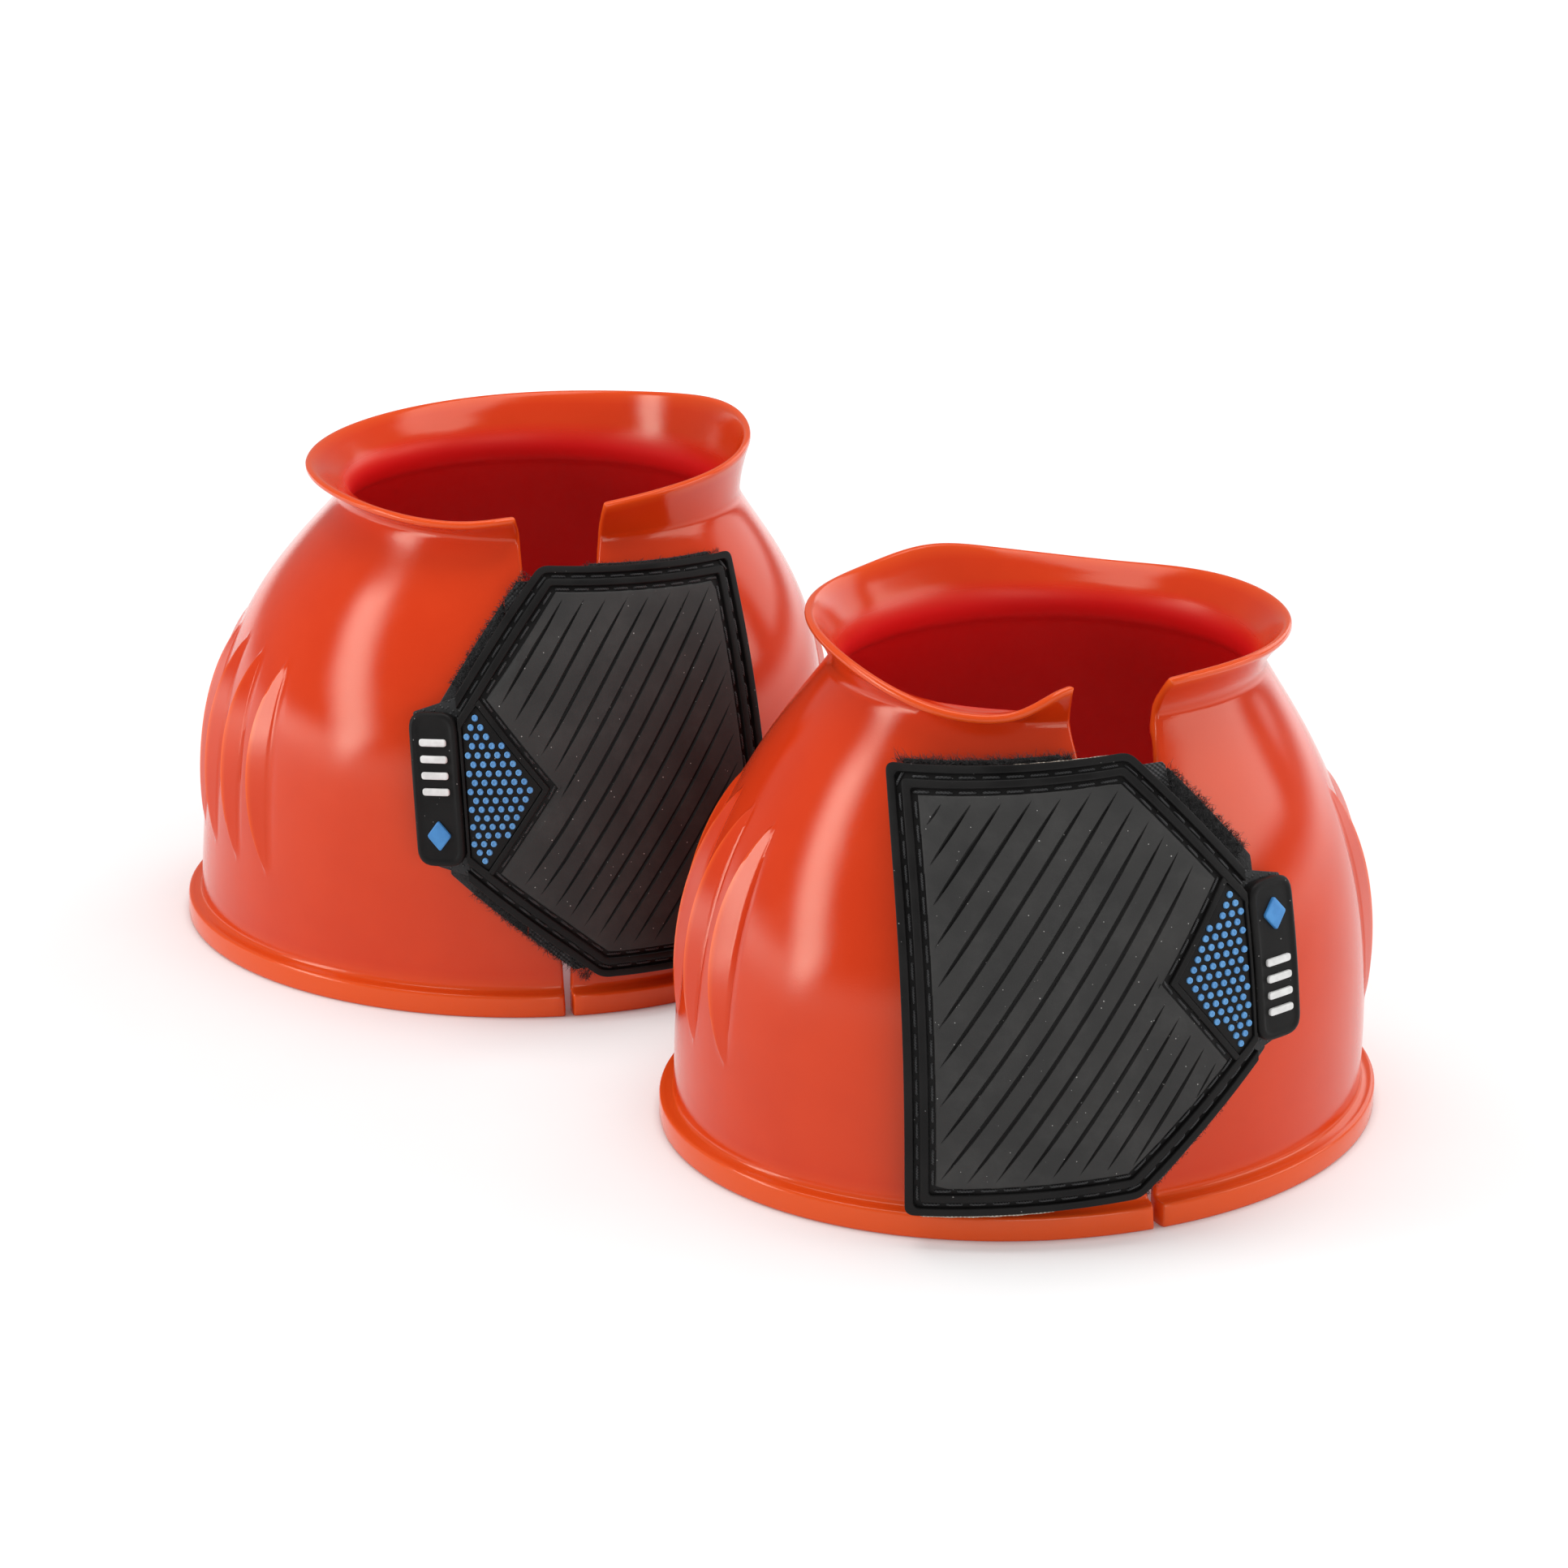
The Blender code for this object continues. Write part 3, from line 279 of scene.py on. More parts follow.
dust, start, end = effect("dust_specks", {"Place": None, "Scale": 700.0, "Cover": 0.25}, ["Specks", "Film"])
cells = node(dust, "TexVoronoi", {"feature": "F1"}, Vector=start.outputs["Place"], Scale=start.outputs["Scale"])
lucky = node(dust, "SeparateColor", i0=cells.outputs["Color"]).outputs[0]
chosen = maths(dust, "LESS_THAN", lucky, start.outputs["Cover"])
size = maths(dust, "MULTIPLY", node(dust, "SeparateColor", i0=cells.outputs["Color"]).outputs[1], 0.24)
round_speck = maths(dust, "LESS_THAN", cells.outputs["Distance"], size)
clouds = noise(dust, start.outputs["Place"], 90.0, 4.0, 0.6)
dust.links.new(maths(dust, "MULTIPLY", chosen, round_speck), end.inputs["Specks"])
dust.links.new(between(dust, clouds, 0.42, 0.75), end.inputs["Film"])

weave, start, end = effect("plain_weave", {"Place": None, "Threads": 1400.0}, ["Height", "Gap"])
split = node(weave, "SeparateXYZ", i0=start.outputs["Place"])
across = maths(weave, "SINE", maths(weave, "MULTIPLY", split.outputs[0], start.outputs["Threads"]))
along = maths(weave, "SINE", maths(weave, "MULTIPLY", split.outputs[1], start.outputs["Threads"]))
woven = maths(weave, "MULTIPLY", across, along)
weave.links.new(woven, end.inputs["Height"])
weave.links.new(between(weave, woven, -0.2, 0.5), end.inputs["Gap"])
print("effects:", grain.name, dust.name, weave.name)


# %% Materials
def new_finish(name, colour, roughness, **settings):
    """A material with its Principled shader: plain numbers go straight on the shader's own sockets."""
    made = bpy.data.materials.new(name)
    made.use_nodes = True
    tree = made.node_tree
    shader = tree.nodes["Principled BSDF"]
    shader.inputs["Base Color"].default_value = (*colour, 1)
    shader.inputs["Roughness"].default_value = roughness
    for key, value in settings.items():
        shader.inputs[key.replace("_", " ")].default_value = value
    return made, tree, shader


def use(tree, group, **inputs):
    """Places a shared effect in a material."""
    made = tree.nodes.new("ShaderNodeGroup")
    made.node_tree = group
    for key, value in inputs.items():
        fill(tree, made.inputs[key], value)
    return made.outputs


def blend_colours(tree, share, first, second):
    """Mixes two colours (plain or from a socket) by a share."""
    made = node(tree, "Mix", {"data_type": "RGBA"}, Factor=share)
    for number, colour in ((6, first), (7, second)):
        fill(tree, made.inputs[number], colour if hasattr(colour, "is_output") else (*colour, 1))
    return made.outputs[2]


def paint(tree, shader, share, first, second):
    """Blends two colours on to the shader."""
    tree.links.new(blend_colours(tree, share, first, second), shader.inputs["Base Color"])


def raise_surface(tree, shader, height, distance, strength=1.0):
    """A bump: height times distance, in metres, tilts the shading normal."""
    bump = node(tree, "Bump", Height=height, Distance=distance, Strength=strength)
    tree.links.new(bump.outputs[0], shader.inputs["Normal"])


def object_place(tree):
    """A point's own place on the object, in metres."""
    return node(tree, "TexCoord").outputs["Object"]


def held_value(tree, name):
    """A number that the piece keeps on its points."""
    return node(tree, "Attribute", {"attribute_name": name}).outputs["Fac"]


def flat_place(tree):
    """A point's place in the flat drawing of the closure, so that patterns follow the bent pieces."""
    return node(tree, "Attribute", {"attribute_name": "flat"}).outputs["Vector"]


# %% [markdown]
# The bell is a glossy, slightly translucent orange-red rubber. Its colour holds painted light: a more orange glow
# at the collar's edge and the slit's sides, where light would shine through thinner rubber, painted light on the
# foot rim, a painted highlight along each gill crest, and a deeper red inside for the bell's shade and red bounce
# light. Point values carry these from the shape to the colour.

# %% Bell rubber
bell_rubber, tree, shader = new_finish("moulded_bell_rubber", (0.67, 0.05, 0.006), 0.12, Specular_IOR_Level=0.40,
                                       Specular_Tint=(1.0, 0.93, 0.78, 1.0))
surface = use(tree, grain, Place=object_place(tree), Scale=2600.0, Waves=45.0)
# A painted orange glow where light would shine through thinner rubber, painted light on the foot rim and a painted
# highlight along the gill crests.
painted_glow = held_value(tree, "painted_glow")
body_red = blend_colours(tree, surface["Mottle"], (0.655, 0.038, 0.004), (0.685, 0.043, 0.005))
painted_glow_red = blend_colours(tree, painted_glow, body_red, (0.90, 0.118, 0.016))
# The deeper red inside is painted shade and painted red bounce light.
inner = held_value(tree, "inner")
paint(tree, shader, inner, painted_glow_red, (0.82, 0.002, 0.004))
specks = use(tree, dust, Place=object_place(tree), Scale=420.0, Cover=0.05)
rough = maths(tree, "MULTIPLY_ADD", specks["Film"], 0.05, 0.10)
tree.links.new(maths(tree, "MULTIPLY_ADD", inner, 0.45, rough), shader.inputs["Roughness"])
raise_surface(tree, shader, surface["Height"], 0.00004, 0.5)
print("made", bell_rubber.name)

# %% [markdown]
# The strap's face is matt charcoal rubber with white dust lying on it. Its rib and lip are handled more, so they
# are a little darker and smoother. The fabrics under it are black: loop pile, webbing and hook tape.

# %% Strap rubber
strap_rubber, tree, shader = new_finish("matt_strap_rubber", (0.034, 0.033, 0.033), 0.6, Specular_IOR_Level=0.22)
place = flat_place(tree)
surface = use(tree, grain, Place=place, Scale=1800.0, Waves=70.0)
specks = use(tree, dust, Place=place, Scale=1500.0, Cover=0.05)
worn = blend_colours(tree, surface["Mottle"], (0.030, 0.0295, 0.029), (0.040, 0.039, 0.038))
filmed = blend_colours(tree, maths(tree, "MULTIPLY", specks["Film"], 0.25), worn, (0.085, 0.083, 0.08))
paint(tree, shader, maths(tree, "MULTIPLY", specks["Specks"], 0.65), filmed, (0.55, 0.54, 0.52))
tree.links.new(maths(tree, "MULTIPLY_ADD", surface["Mottle"], 0.12, 0.55), shader.inputs["Roughness"])
raise_surface(tree, shader, surface["Height"], 0.00006, 0.6)

ridge_rubber, tree, shader = new_finish("smooth_strap_edge", (0.008, 0.0076, 0.0076), 0.5, Specular_IOR_Level=0.14)
place = flat_place(tree)
surface = use(tree, grain, Place=place, Scale=1600.0, Waves=90.0)
specks = use(tree, dust, Place=place, Scale=1500.0, Cover=0.04)
worn = blend_colours(tree, surface["Mottle"], (0.006, 0.0057, 0.0057), (0.011, 0.0105, 0.0103))
paint(tree, shader, maths(tree, "MULTIPLY", specks["Specks"], 0.5), worn, (0.40, 0.39, 0.38))
tree.links.new(maths(tree, "MULTIPLY_ADD", surface["Mottle"], 0.15, 0.42), shader.inputs["Roughness"])
raise_surface(tree, shader, surface["Height"], 0.00005, 0.6)
print("made", strap_rubber.name, "and", ridge_rubber.name)

# %% Grip dots, badge and bars
def moulded_colour(name, colour, roughness, scale, waves, first, second):
    """A small coloured rubber: two close tones, slowly mottled, under a fine grain."""
    made, tree, shader = new_finish(name, colour, roughness)
    surface = use(tree, grain, Place=object_place(tree), Scale=scale, Waves=waves)
    paint(tree, shader, surface["Mottle"], first, second)
    raise_surface(tree, shader, surface["Height"], 0.00004, 0.5)
    return made


dot_blue = moulded_colour("grip_dot_blue", (0.055, 0.20, 0.42), 0.5, 1800.0, 400.0,
                          (0.085, 0.29, 0.62), (0.12, 0.36, 0.70))
badge_blue = moulded_colour("badge_blue_rubber", (0.05, 0.25, 0.60), 0.42, 2200.0, 300.0,
                            (0.04, 0.22, 0.55), (0.06, 0.28, 0.64))
bar_white = moulded_colour("bar_white_rubber", (0.78, 0.78, 0.77), 0.5, 2200.0, 350.0,
                           (0.70, 0.70, 0.69), (0.84, 0.84, 0.83))
print("made", dot_blue.name, badge_blue.name, bar_white.name)

# %% Pile, webbing, hook tape and thread
pile, tree, shader = new_finish("loop_pile_black", (0.016, 0.016, 0.017), 0.95, Sheen_Weight=0.08,
                                Sheen_Roughness=0.5)
place = flat_place(tree)
fuzz, tufts = noise(tree, place, 1400.0, 4.0, 0.75), noise(tree, place, 420.0, 3.0, 0.6)
paint(tree, shader, tufts, (0.007, 0.007, 0.008), (0.028, 0.027, 0.027))
raise_surface(tree, shader, maths(tree, "ADD", fuzz, tufts), 0.0006, 0.9)

webbing, tree, shader = new_finish("webbing_black", (0.026, 0.026, 0.028), 0.8, Sheen_Weight=0.15)
threads = use(tree, weave, Place=flat_place(tree), Threads=5200.0)
paint(tree, shader, threads["Gap"], (0.010, 0.010, 0.011), (0.050, 0.050, 0.052))
raise_surface(tree, shader, threads["Height"], 0.0003, 0.8)

hook_tape, tree, shader = new_finish("hook_tape_black", (0.020, 0.020, 0.021), 0.65)
hooks = node(tree, "TexVoronoi", {"feature": "F1"}, Vector=flat_place(tree), Scale=1100.0)
near = between(tree, hooks.outputs["Distance"], 0.1, 0.45, 1.0, 0.0)
paint(tree, shader, near, (0.008, 0.008, 0.009), (0.055, 0.055, 0.057))
raise_surface(tree, shader, near, 0.0004, 0.9)

thread, tree, shader = new_finish("thread_black", (0.012, 0.012, 0.013), 0.55, Sheen_Weight=0.2)
twist = node(tree, "TexWave", {"bands_direction": "DIAGONAL"}, Vector=object_place(tree), Scale=900.0)
paint(tree, shader, twist.outputs["Fac"], (0.007, 0.007, 0.008), (0.030, 0.030, 0.032))
raise_surface(tree, shader, twist.outputs["Fac"], 0.0001, 0.8)
print("fabrics:", pile.name, webbing.name, hook_tape.name, thread.name)

# %% [markdown]
# The shell is one grid for its outside and one for its inside, with the same rows and columns, joined by walls
# at the foot, the collar's edge and the two sides of the slit. Near those borders both grids draw together, which
# rounds the edges. Five gills stand out on each side: each rises from a straight crease to a crescent crest and
# then falls steeply, so the columns are packed round every crease and crest.


# %% Gills and columns of the shell
gill_middle, gill_reach, gill_push = 0.0555, 0.0270, 0.0025
gill_step, tab_side_first, flat_side_first = 10.5, 66.0, 77.0
slit_edge = 0.0010
print("gills from", [round((gill_middle + reach) * 1000, 1) for reach in (-gill_reach, gill_reach)], "mm")


def gill_columns(boot, z):
    """Angle from the slit, outward push and nearness to a crest of every column, at each height of the column
    vector z. A gill's width and push follow one minus the square of the share of its half height, to the power
    0.8."""
    per_metre = np.degrees(1 / profile(boot, z)[0])
    envelope = np.clip(1 - ((z - gill_middle) / gill_reach) ** 2, 0, 1) ** 0.8
    slit = 0.0007 + 0.0101 * np.clip(z / boot["neck_height"], 0, 1.15) ** 1.4
    half_slit, crest = slit * per_metre, (0.0008 + 0.0064 * envelope) * per_metre
    back = crest + 0.0010 * per_metre
    rising, falling = np.linspace(0, 1, 10), np.linspace(0, 1, 7)[1:]
    bulge = gill_push * rising**1.15 - 0.0004 * np.exp(-((rising / 0.05) ** 2))
    # Each column's share of the painted highlight along a crest: it rises just before the crest and fades behind
    # it.
    ridge = np.concatenate([np.clip((rising - 0.75) / 0.25, 0, 1) ** 2, np.clip(1 - falling / 0.6, 0, 1)])
    angles, pushes, crests = [], [], []

    def plain(first, last, count):
        """Evenly spaced columns without a push."""
        shares = np.arange(count) / count
        angles.append(first + (last - first) * shares)
        pushes.append(np.zeros((len(z), count)))
        crests.append(pushes[-1])

    def gill(begin, turned):
        """Columns from a crease up to the crest and down behind it. turned is -1 where they run backwards."""
        up = begin + turned * crest * rising
        down = begin + turned * (crest + (back - crest) * falling)
        both = np.concatenate([up, down], axis=1)
        push = envelope * np.concatenate([bulge, gill_push * (1 - falling**2 * (3 - 2 * falling))])
        angles.append(both if turned > 0 else both[:, ::-1])
        pushes.append(push if turned > 0 else push[:, ::-1])
        crests.append((envelope * ridge)[:, ::turned])

    edge = slit_edge * per_metre
    plain(half_slit, half_slit + edge, 4)
    tab_side = tab_side_first + gill_step * np.arange(5)
    flat_side = 360 - (flat_side_first + gill_step * np.arange(5)[::-1])
    plain(half_slit + edge, tab_side[0] - 0.4 + 0 * z, 44)
    for i, begin in enumerate(tab_side):
        gill(begin + 0 * z, 1)
        if i < 4:
            plain(begin + back + 0.2, begin + 10.3 + 0 * z, 7)
    plain(tab_side[-1] + back + 0.4, flat_side[0] - back - 0.4, 90)
    for i, begin in enumerate(flat_side):
        gill(begin + 0 * z, -1)
        if i < 4:
            plain(begin + 0.2 + 0 * z, begin + 10.3 - back, 7)
    plain(flat_side[-1] + 0.4 + 0 * z, 360 - half_slit - edge, 44)
    plain(360 - half_slit - edge, 360 - half_slit, 4)
    angles.append(360 - half_slit)
    pushes.append(0 * z)
    crests.append(0 * z)
    return [np.concatenate(each, axis=1) for each in (angles, pushes, crests)]


# %% Rows of the shell
rim_height, rim_out, rim_round = 0.0062, 0.0036, 0.0009
fillet, bead_reach, bead_out = 0.0011, 0.00225, 0.0011


def shell_rows(boot):
    """Height, share of the collar, and outer and inner offset of every row, from the foot to the edge. The rim's
    corners and the fillet above it are quarter circles; the bead inside the neck is a flattened bulge."""
    neck = boot["neck_height"]
    bend = np.linspace(0, math.pi / 2, 5)
    rim_z = np.concatenate([rim_round * (1 - np.cos(bend)), rim_height - rim_round * (1 - np.sin(bend[:-1]))])
    rim_off = rim_out - rim_round + rim_round * np.concatenate([np.sin(bend), np.cos(bend[:-1])])
    ledge_z = rim_height + fillet * (1 - np.cos(bend)) + np.linspace(0, 0.0001, 5)
    ledge_off = np.concatenate([[2 * fillet], fillet * (1 - np.sin(bend[1:]))])
    body_z = np.linspace(0.0078, neck, 72)
    z = np.concatenate([rim_z, ledge_z, body_z])
    outer = np.concatenate([rim_off, ledge_off, 0 * body_z])
    near_neck = (z - (neck - bead_reach)) / bead_reach
    inner = -wall - bead_out * np.clip(1 - near_neck**2, 0, 1) ** 0.7
    lip = np.array([0.12, 0.25, 0.38, 0.5, 0.62, 0.73, 0.82, 0.88, 0.925, 0.955, 0.975, 0.989, 0.997, 1.0])
    round_off = np.sqrt(np.clip(1 - np.clip((lip - 0.92) / 0.08, 0, 1) ** 2, 0, 1))
    middle = -lip_wall / 2
    wall_now = -wall + (wall - lip_wall) * np.clip(lip / 0.5, 0, 1)
    outer_lip = middle - middle * round_off
    inner_lip = middle + (wall_now - middle) * round_off
    z = np.concatenate([z, 0 * lip + neck])
    share = np.concatenate([np.zeros(len(outer)), lip])
    return z, share, np.concatenate([outer, outer_lip]), np.concatenate([inner, inner_lip])


# %% The shells
def make_shell(name):
    """Outer and inner grid of one bell, with two point values for the colour. The first is high at the collar's
    edge, the foot, the slit and the crests: a painted orange glow of light through thinner rubber, painted light on
    the foot rim and a painted highlight on each crest. inner is high inside the bell, below the collar, where a
    deeper red paints its shade and red bounce light."""
    boot = boots[name]
    z, share, outer, inner = (row[:, None] for row in shell_rows(boot))
    angle, push, crest = gill_columns(boot, z)
    turned = slit_angle(boot, z) + boot["side"] * angle
    height = z + share * (lip_height(boot, turned) - z)
    count = angle.shape[1]
    ends = np.ones(count)
    ends[:5] = np.sqrt(1 - (1 - np.arange(5) / 4) ** 2)
    ends[-5:] = ends[4::-1]
    middle = (np.minimum(outer, 0) + inner) / 2
    keep = 1 - (1 - ends) * 0.75
    outside = skin(boot, turned, height, middle + (outer + push - middle) * keep)
    inside = skin(boot, turned, height, middle + (inner - middle) * keep)
    outside[0, :, 2] = inside[0, :, 2] = 0
    outside[..., 2] = np.maximum(outside[..., 2], 0)
    # A painted orange glow at the collar's edge and the slit's sides, where light would shine through thinner
    # rubber, painted light on the foot rim, and a painted highlight along each gill crest.
    painted_glow = np.clip((share - 0.75) / 0.25, 0, 1) * 0.5 + np.clip(2 - z / 0.005, 0, 1) * 0.65
    painted_glow = np.clip(painted_glow + (1 - ends) * 0.6 + crest, 0, 1).ravel()
    # Painted shade and red bounce light inside: full below the collar, fading out a third of the way up it and at
    # the slit's edges.
    deep = (np.clip((0.35 - share) / 0.35, 0, 1) * ends).ravel()
    points = np.concatenate([outside.reshape(-1, 3), inside.reshape(-1, 3)])
    faces = closed_sheet(quads(*angle.shape), angle.size)
    values = {"painted_glow": np.concatenate([painted_glow, painted_glow]), "inner": np.concatenate([0 * deep, deep])}
    made = make_piece(name + "_moulded_shell", points, faces, bell_rubber, boot["side"] < 0, sharp=55.0,
                      values=values)
    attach(made, name + "_boot")
    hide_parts(name + "_shell")


for name in boots:
    make_shell(name)

# %% [markdown]
# The closure is drawn flat and then wrapped round the bell, as its maker cuts it flat and sews it on. Every flat
# outline is a polygon whose sides can be moved inwards by different amounts and whose corners are rounded. A
# plate is a stack of such loops: out along the bottom, up the wall, over the rounded edge, and in to the middle.


# %% Rounded outlines
def outline(corners, inset=0.0, radius=0.0, steps=None, closed=True):
    """Points along an anticlockwise polygon whose sides are moved inwards by inset, one number or one a side.
    Each corner is where two moved sides meet, and is rounded by a quadratic curve from radius before it to radius
    after it. An open outline leaves out its last side."""
    corners = np.array(corners, float)
    count = len(corners)
    inset = np.broadcast_to(np.asarray(inset, float), count)
    radius = np.broadcast_to(np.asarray(radius, float), count)[:, None]
    ahead = np.roll(corners, -1, axis=0) - corners
    length = np.linalg.norm(ahead, axis=1)
    ahead /= length[:, None]
    left = np.stack([-ahead[:, 1], ahead[:, 0]], axis=1)
    before, left_before, inset_before = np.roll(ahead, 1, axis=0), np.roll(left, 1, axis=0), np.roll(inset, 1)
    cross = left_before[:, 0] * left[:, 1] - left_before[:, 1] * left[:, 0]
    move_x = (inset_before * left[:, 1] - inset * left_before[:, 1]) / cross
    move_y = (inset * left_before[:, 0] - inset_before * left[:, 0]) / cross
    corners = corners + np.stack([move_x, move_y], axis=1)
    start, end = corners - before * radius, corners + ahead * radius
    steps = np.maximum(2, np.round(length / 0.0025)).astype(int) if steps is None else steps
    t = np.linspace(0, 1, 7)[:, None]
    runs = []
    for i in range(count):
        runs.append((1 - t) ** 2 * start[i] + 2 * t * (1 - t) * corners[i] + t**2 * end[i])
        s = (np.arange(1, steps[i]) / steps[i])[:, None]
        runs.append(end[i] * (1 - s) + start[(i + 1) % count] * s)
    if not closed:
        runs = [end[:1]] + runs[1:-2] + [start[-1:]]
    return np.concatenate(runs)


def add_height(points, height):
    """Flat points with a third number, their height."""
    return np.concatenate([points, np.broadcast_to(height, (len(points), 1))], axis=1)


def edge_round(inset, top, radius, count=5):
    """Quarter circle of (inset, height) pairs over a top edge, from the wall to the flat."""
    turn = np.linspace(0, math.pi / 2, count)
    return [(inset + radius * (1 - math.cos(a)), top - radius * (1 - math.sin(a))) for a in turn]


def plate(corners, low, top, edge=0.0003, radius=0.0, centre=None, rings=10, inset=0.0, extra=()):
    """Rows of a closed plate: centre of the bottom, outline, wall, rounded edge, more (inset, height) pairs, and
    the centre of the top. The centre may be one point or one for each point of the outline."""
    base = outline(corners, inset, radius)
    middle = base.mean(axis=0) if centre is None else centre
    shares = np.linspace(1, 0, rings)[:, None, None]
    bottom = base * (1 - shares) + middle * shares
    rows = [add_height(row, low) for row in bottom]
    pairs = edge_round(0.0, top, edge) + list(extra)
    loops = [outline(corners, inset + d, np.maximum(radius - d, 0)) for d, _ in pairs]
    rows += [add_height(loop, height) for loop, (_, height) in zip(loops, pairs)]
    inward = np.linspace(0, 1, rings)[1:, None, None]
    filled = loops[-1] * (1 - inward) + middle * inward
    rows += [add_height(row, pairs[-1][1]) for row in filled]
    return np.array(rows)


print("outlines ready")


# %% Wrapped pieces
def make_wrapped(name, title, grids, finish, low, body, nodes=(), slot=None, closed=(False, True), sharp=35.0):
    """Joins flat grids into one piece on a boot. low lifts them all, and flat places stay on the points."""
    boot = boots[name]
    points, faces, count = [], [], 0
    for grid in grids:
        points.append((grid + np.array([0, 0, low])).reshape(-1, 3))
        faces.append(quads(*grid.shape[:2], *closed) + count)
        count += len(points[-1])
    flat, faces = np.concatenate(points), np.concatenate(faces)
    made = make_piece(f"{name}_{title}", wrap(boot, flat), faces, finish, boot["side"] < 0, True, sharp,
                      {"flat": flat})
    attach(made, f"{name}_{body}")
    if nodes:
        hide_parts(*[f"{name}_{each}" for each in nodes])
    return made


def on_face(name, title, grids, finish, nodes, slot, **more):
    """A wrapped piece of the outer strap's rubber face."""
    make_wrapped(name, title, grids, finish, face_low, "outer_strap", nodes, slot, **more)


# %% [markdown]
# Thin layers lie between the bell and the strap's face: pile on the near flap, the inner strap with its hook
# face, and the lining. The rubber face is on top. Their heights above the skin are those of the CAD.

# %% Layers and outlines
patch_low, hook_low, inner_low, lining_low, face_low = 0.0005, 0.0022, 0.0032, 0.0049, 0.0061
face = 0.0026
tip, tip_middle, top_way = 0.0230, 0.0599, 0.1105
strap = [
    (tip, tip_middle + 0.02125),
    (0.0003, top_way),
    (-0.0505, top_way - 0.0045),
    (-0.0585, strap_foot),
    (-0.0072, strap_foot + 0.0025),
    (tip, tip_middle - 0.02125),
]
insert = [
    (0.0040, tip_middle),
    (0.0182, tip_middle - 0.0190),
    (0.0222, tip_middle - 0.0160),
    (0.0222, tip_middle + 0.0160),
    (0.0182, tip_middle + 0.0190),
]
lip, channel, rib, seam = 0.0018, 0.0014, 0.0018, 0.0014
floor_height = face - 0.0011
print("strap", len(strap), "corners, insert", len(insert))


# %% Strips round the strap
def sides(inset, tip_inset=0.0):
    """The same inset on the strap's five edges, and another on its tip."""
    return np.array([inset] * 5 + [tip_inset])


def strip(first, second, top, edge=0.0003, radius=0.0022, low=0.0):
    """A ridge from inset first to inset second along the strap's open outline: up its outer wall, over two rounded
    edges and down its inner wall, with both ends shrunk to a point as caps."""
    pairs = [(first, low)] + edge_round(first, top, edge)
    pairs += [(first + second - d, h) for d, h in reversed(edge_round(first, top, edge))] + [(second, low)]
    rounded = np.array([0, 1, 1, 1, 1, 0])
    radii = [rounded * max(radius - 0.35 * d, 0.0008) for d, _ in pairs]
    loops = [outline(strap, sides(d), radius, closed=False) for (d, _), radius in zip(pairs, radii)]
    grid = np.array([add_height(loop, height) for loop, (_, height) in zip(loops, pairs)])
    middle = grid.mean(axis=0, keepdims=True)
    caps = [np.repeat(middle[:, [k]], len(grid), axis=0) for k in (0, -1)]
    return np.concatenate([caps[0], grid, caps[1]], axis=1)


def make_strap_face(name):
    """The dark ground, and the two ridges that follow the strap's edges: the lip and the rib."""
    base = plate(strap, 0.0, floor_height, radius=0.0018, inset=sides(0.0006), rings=16)
    lip_strip = strip(0.0, lip, face)
    rib_strip = strip(lip + channel, lip + channel + rib, face, 0.00035)
    on_face(name, "strap_base", [base], ridge_rubber, ["strap_overlay"], "strap_rubber")
    on_face(name, "strap_ridges", [lip_strip, rib_strip], ridge_rubber, (), "strap_rubber", closed=(True, False))


for name in boots:
    make_strap_face(name)

# %% [markdown]
# The sunk field is cut by slanting grooves, blade-shaped and pointed at both ends. Its grid runs along them, so
# each groove keeps crisp sides: lines fan out a little, and each is cut where it enters and leaves the field.
# Right of the insert's point the lines stop at the insert's seam, so the field is made as two such grids.

# %% The field's outline
def unit(a, b):
    """Unit vector from one flat point to another."""
    ahead = np.array(b, float) - np.array(a, float)
    return ahead / np.linalg.norm(ahead)


def field_corners(extra=0.0):
    """The field inside the inner channel: the strap's offset sides, and a notch round the insert's point. Each
    corner is where two lines meet."""
    side, beside = lip + channel + rib + channel + extra, seam + channel + extra

    def moved(a, b, distance):
        """A side moved inwards, as a point and a direction."""
        d = unit(a, b)
        return np.array(a) + np.array([-d[1], d[0]]) * distance, d

    def meet(first, second):
        """Where two lines cross, by the cross products of their directions."""
        (p, d), (q, e) = first, second
        return p + d * ((q[0] - p[0]) * e[1] - (q[1] - p[1]) * e[0]) / (d[0] * e[1] - d[1] * e[0])

    tip_top, top, flat_top, flat_foot, foot, tip_foot = strap
    lines = [
        moved(flat_foot, foot, side), moved(foot, tip_foot, side), moved(insert[1], insert[0], beside),
        moved(insert[0], insert[4], beside), moved(tip_top, top, side), moved(top, flat_top, side),
        moved(flat_top, flat_foot, side),
    ]
    return [meet(lines[i - 1], lines[i]) for i in range(7)]


corners = field_corners()
print("field corners", np.round(np.array(corners) * 1000, 1).tolist())


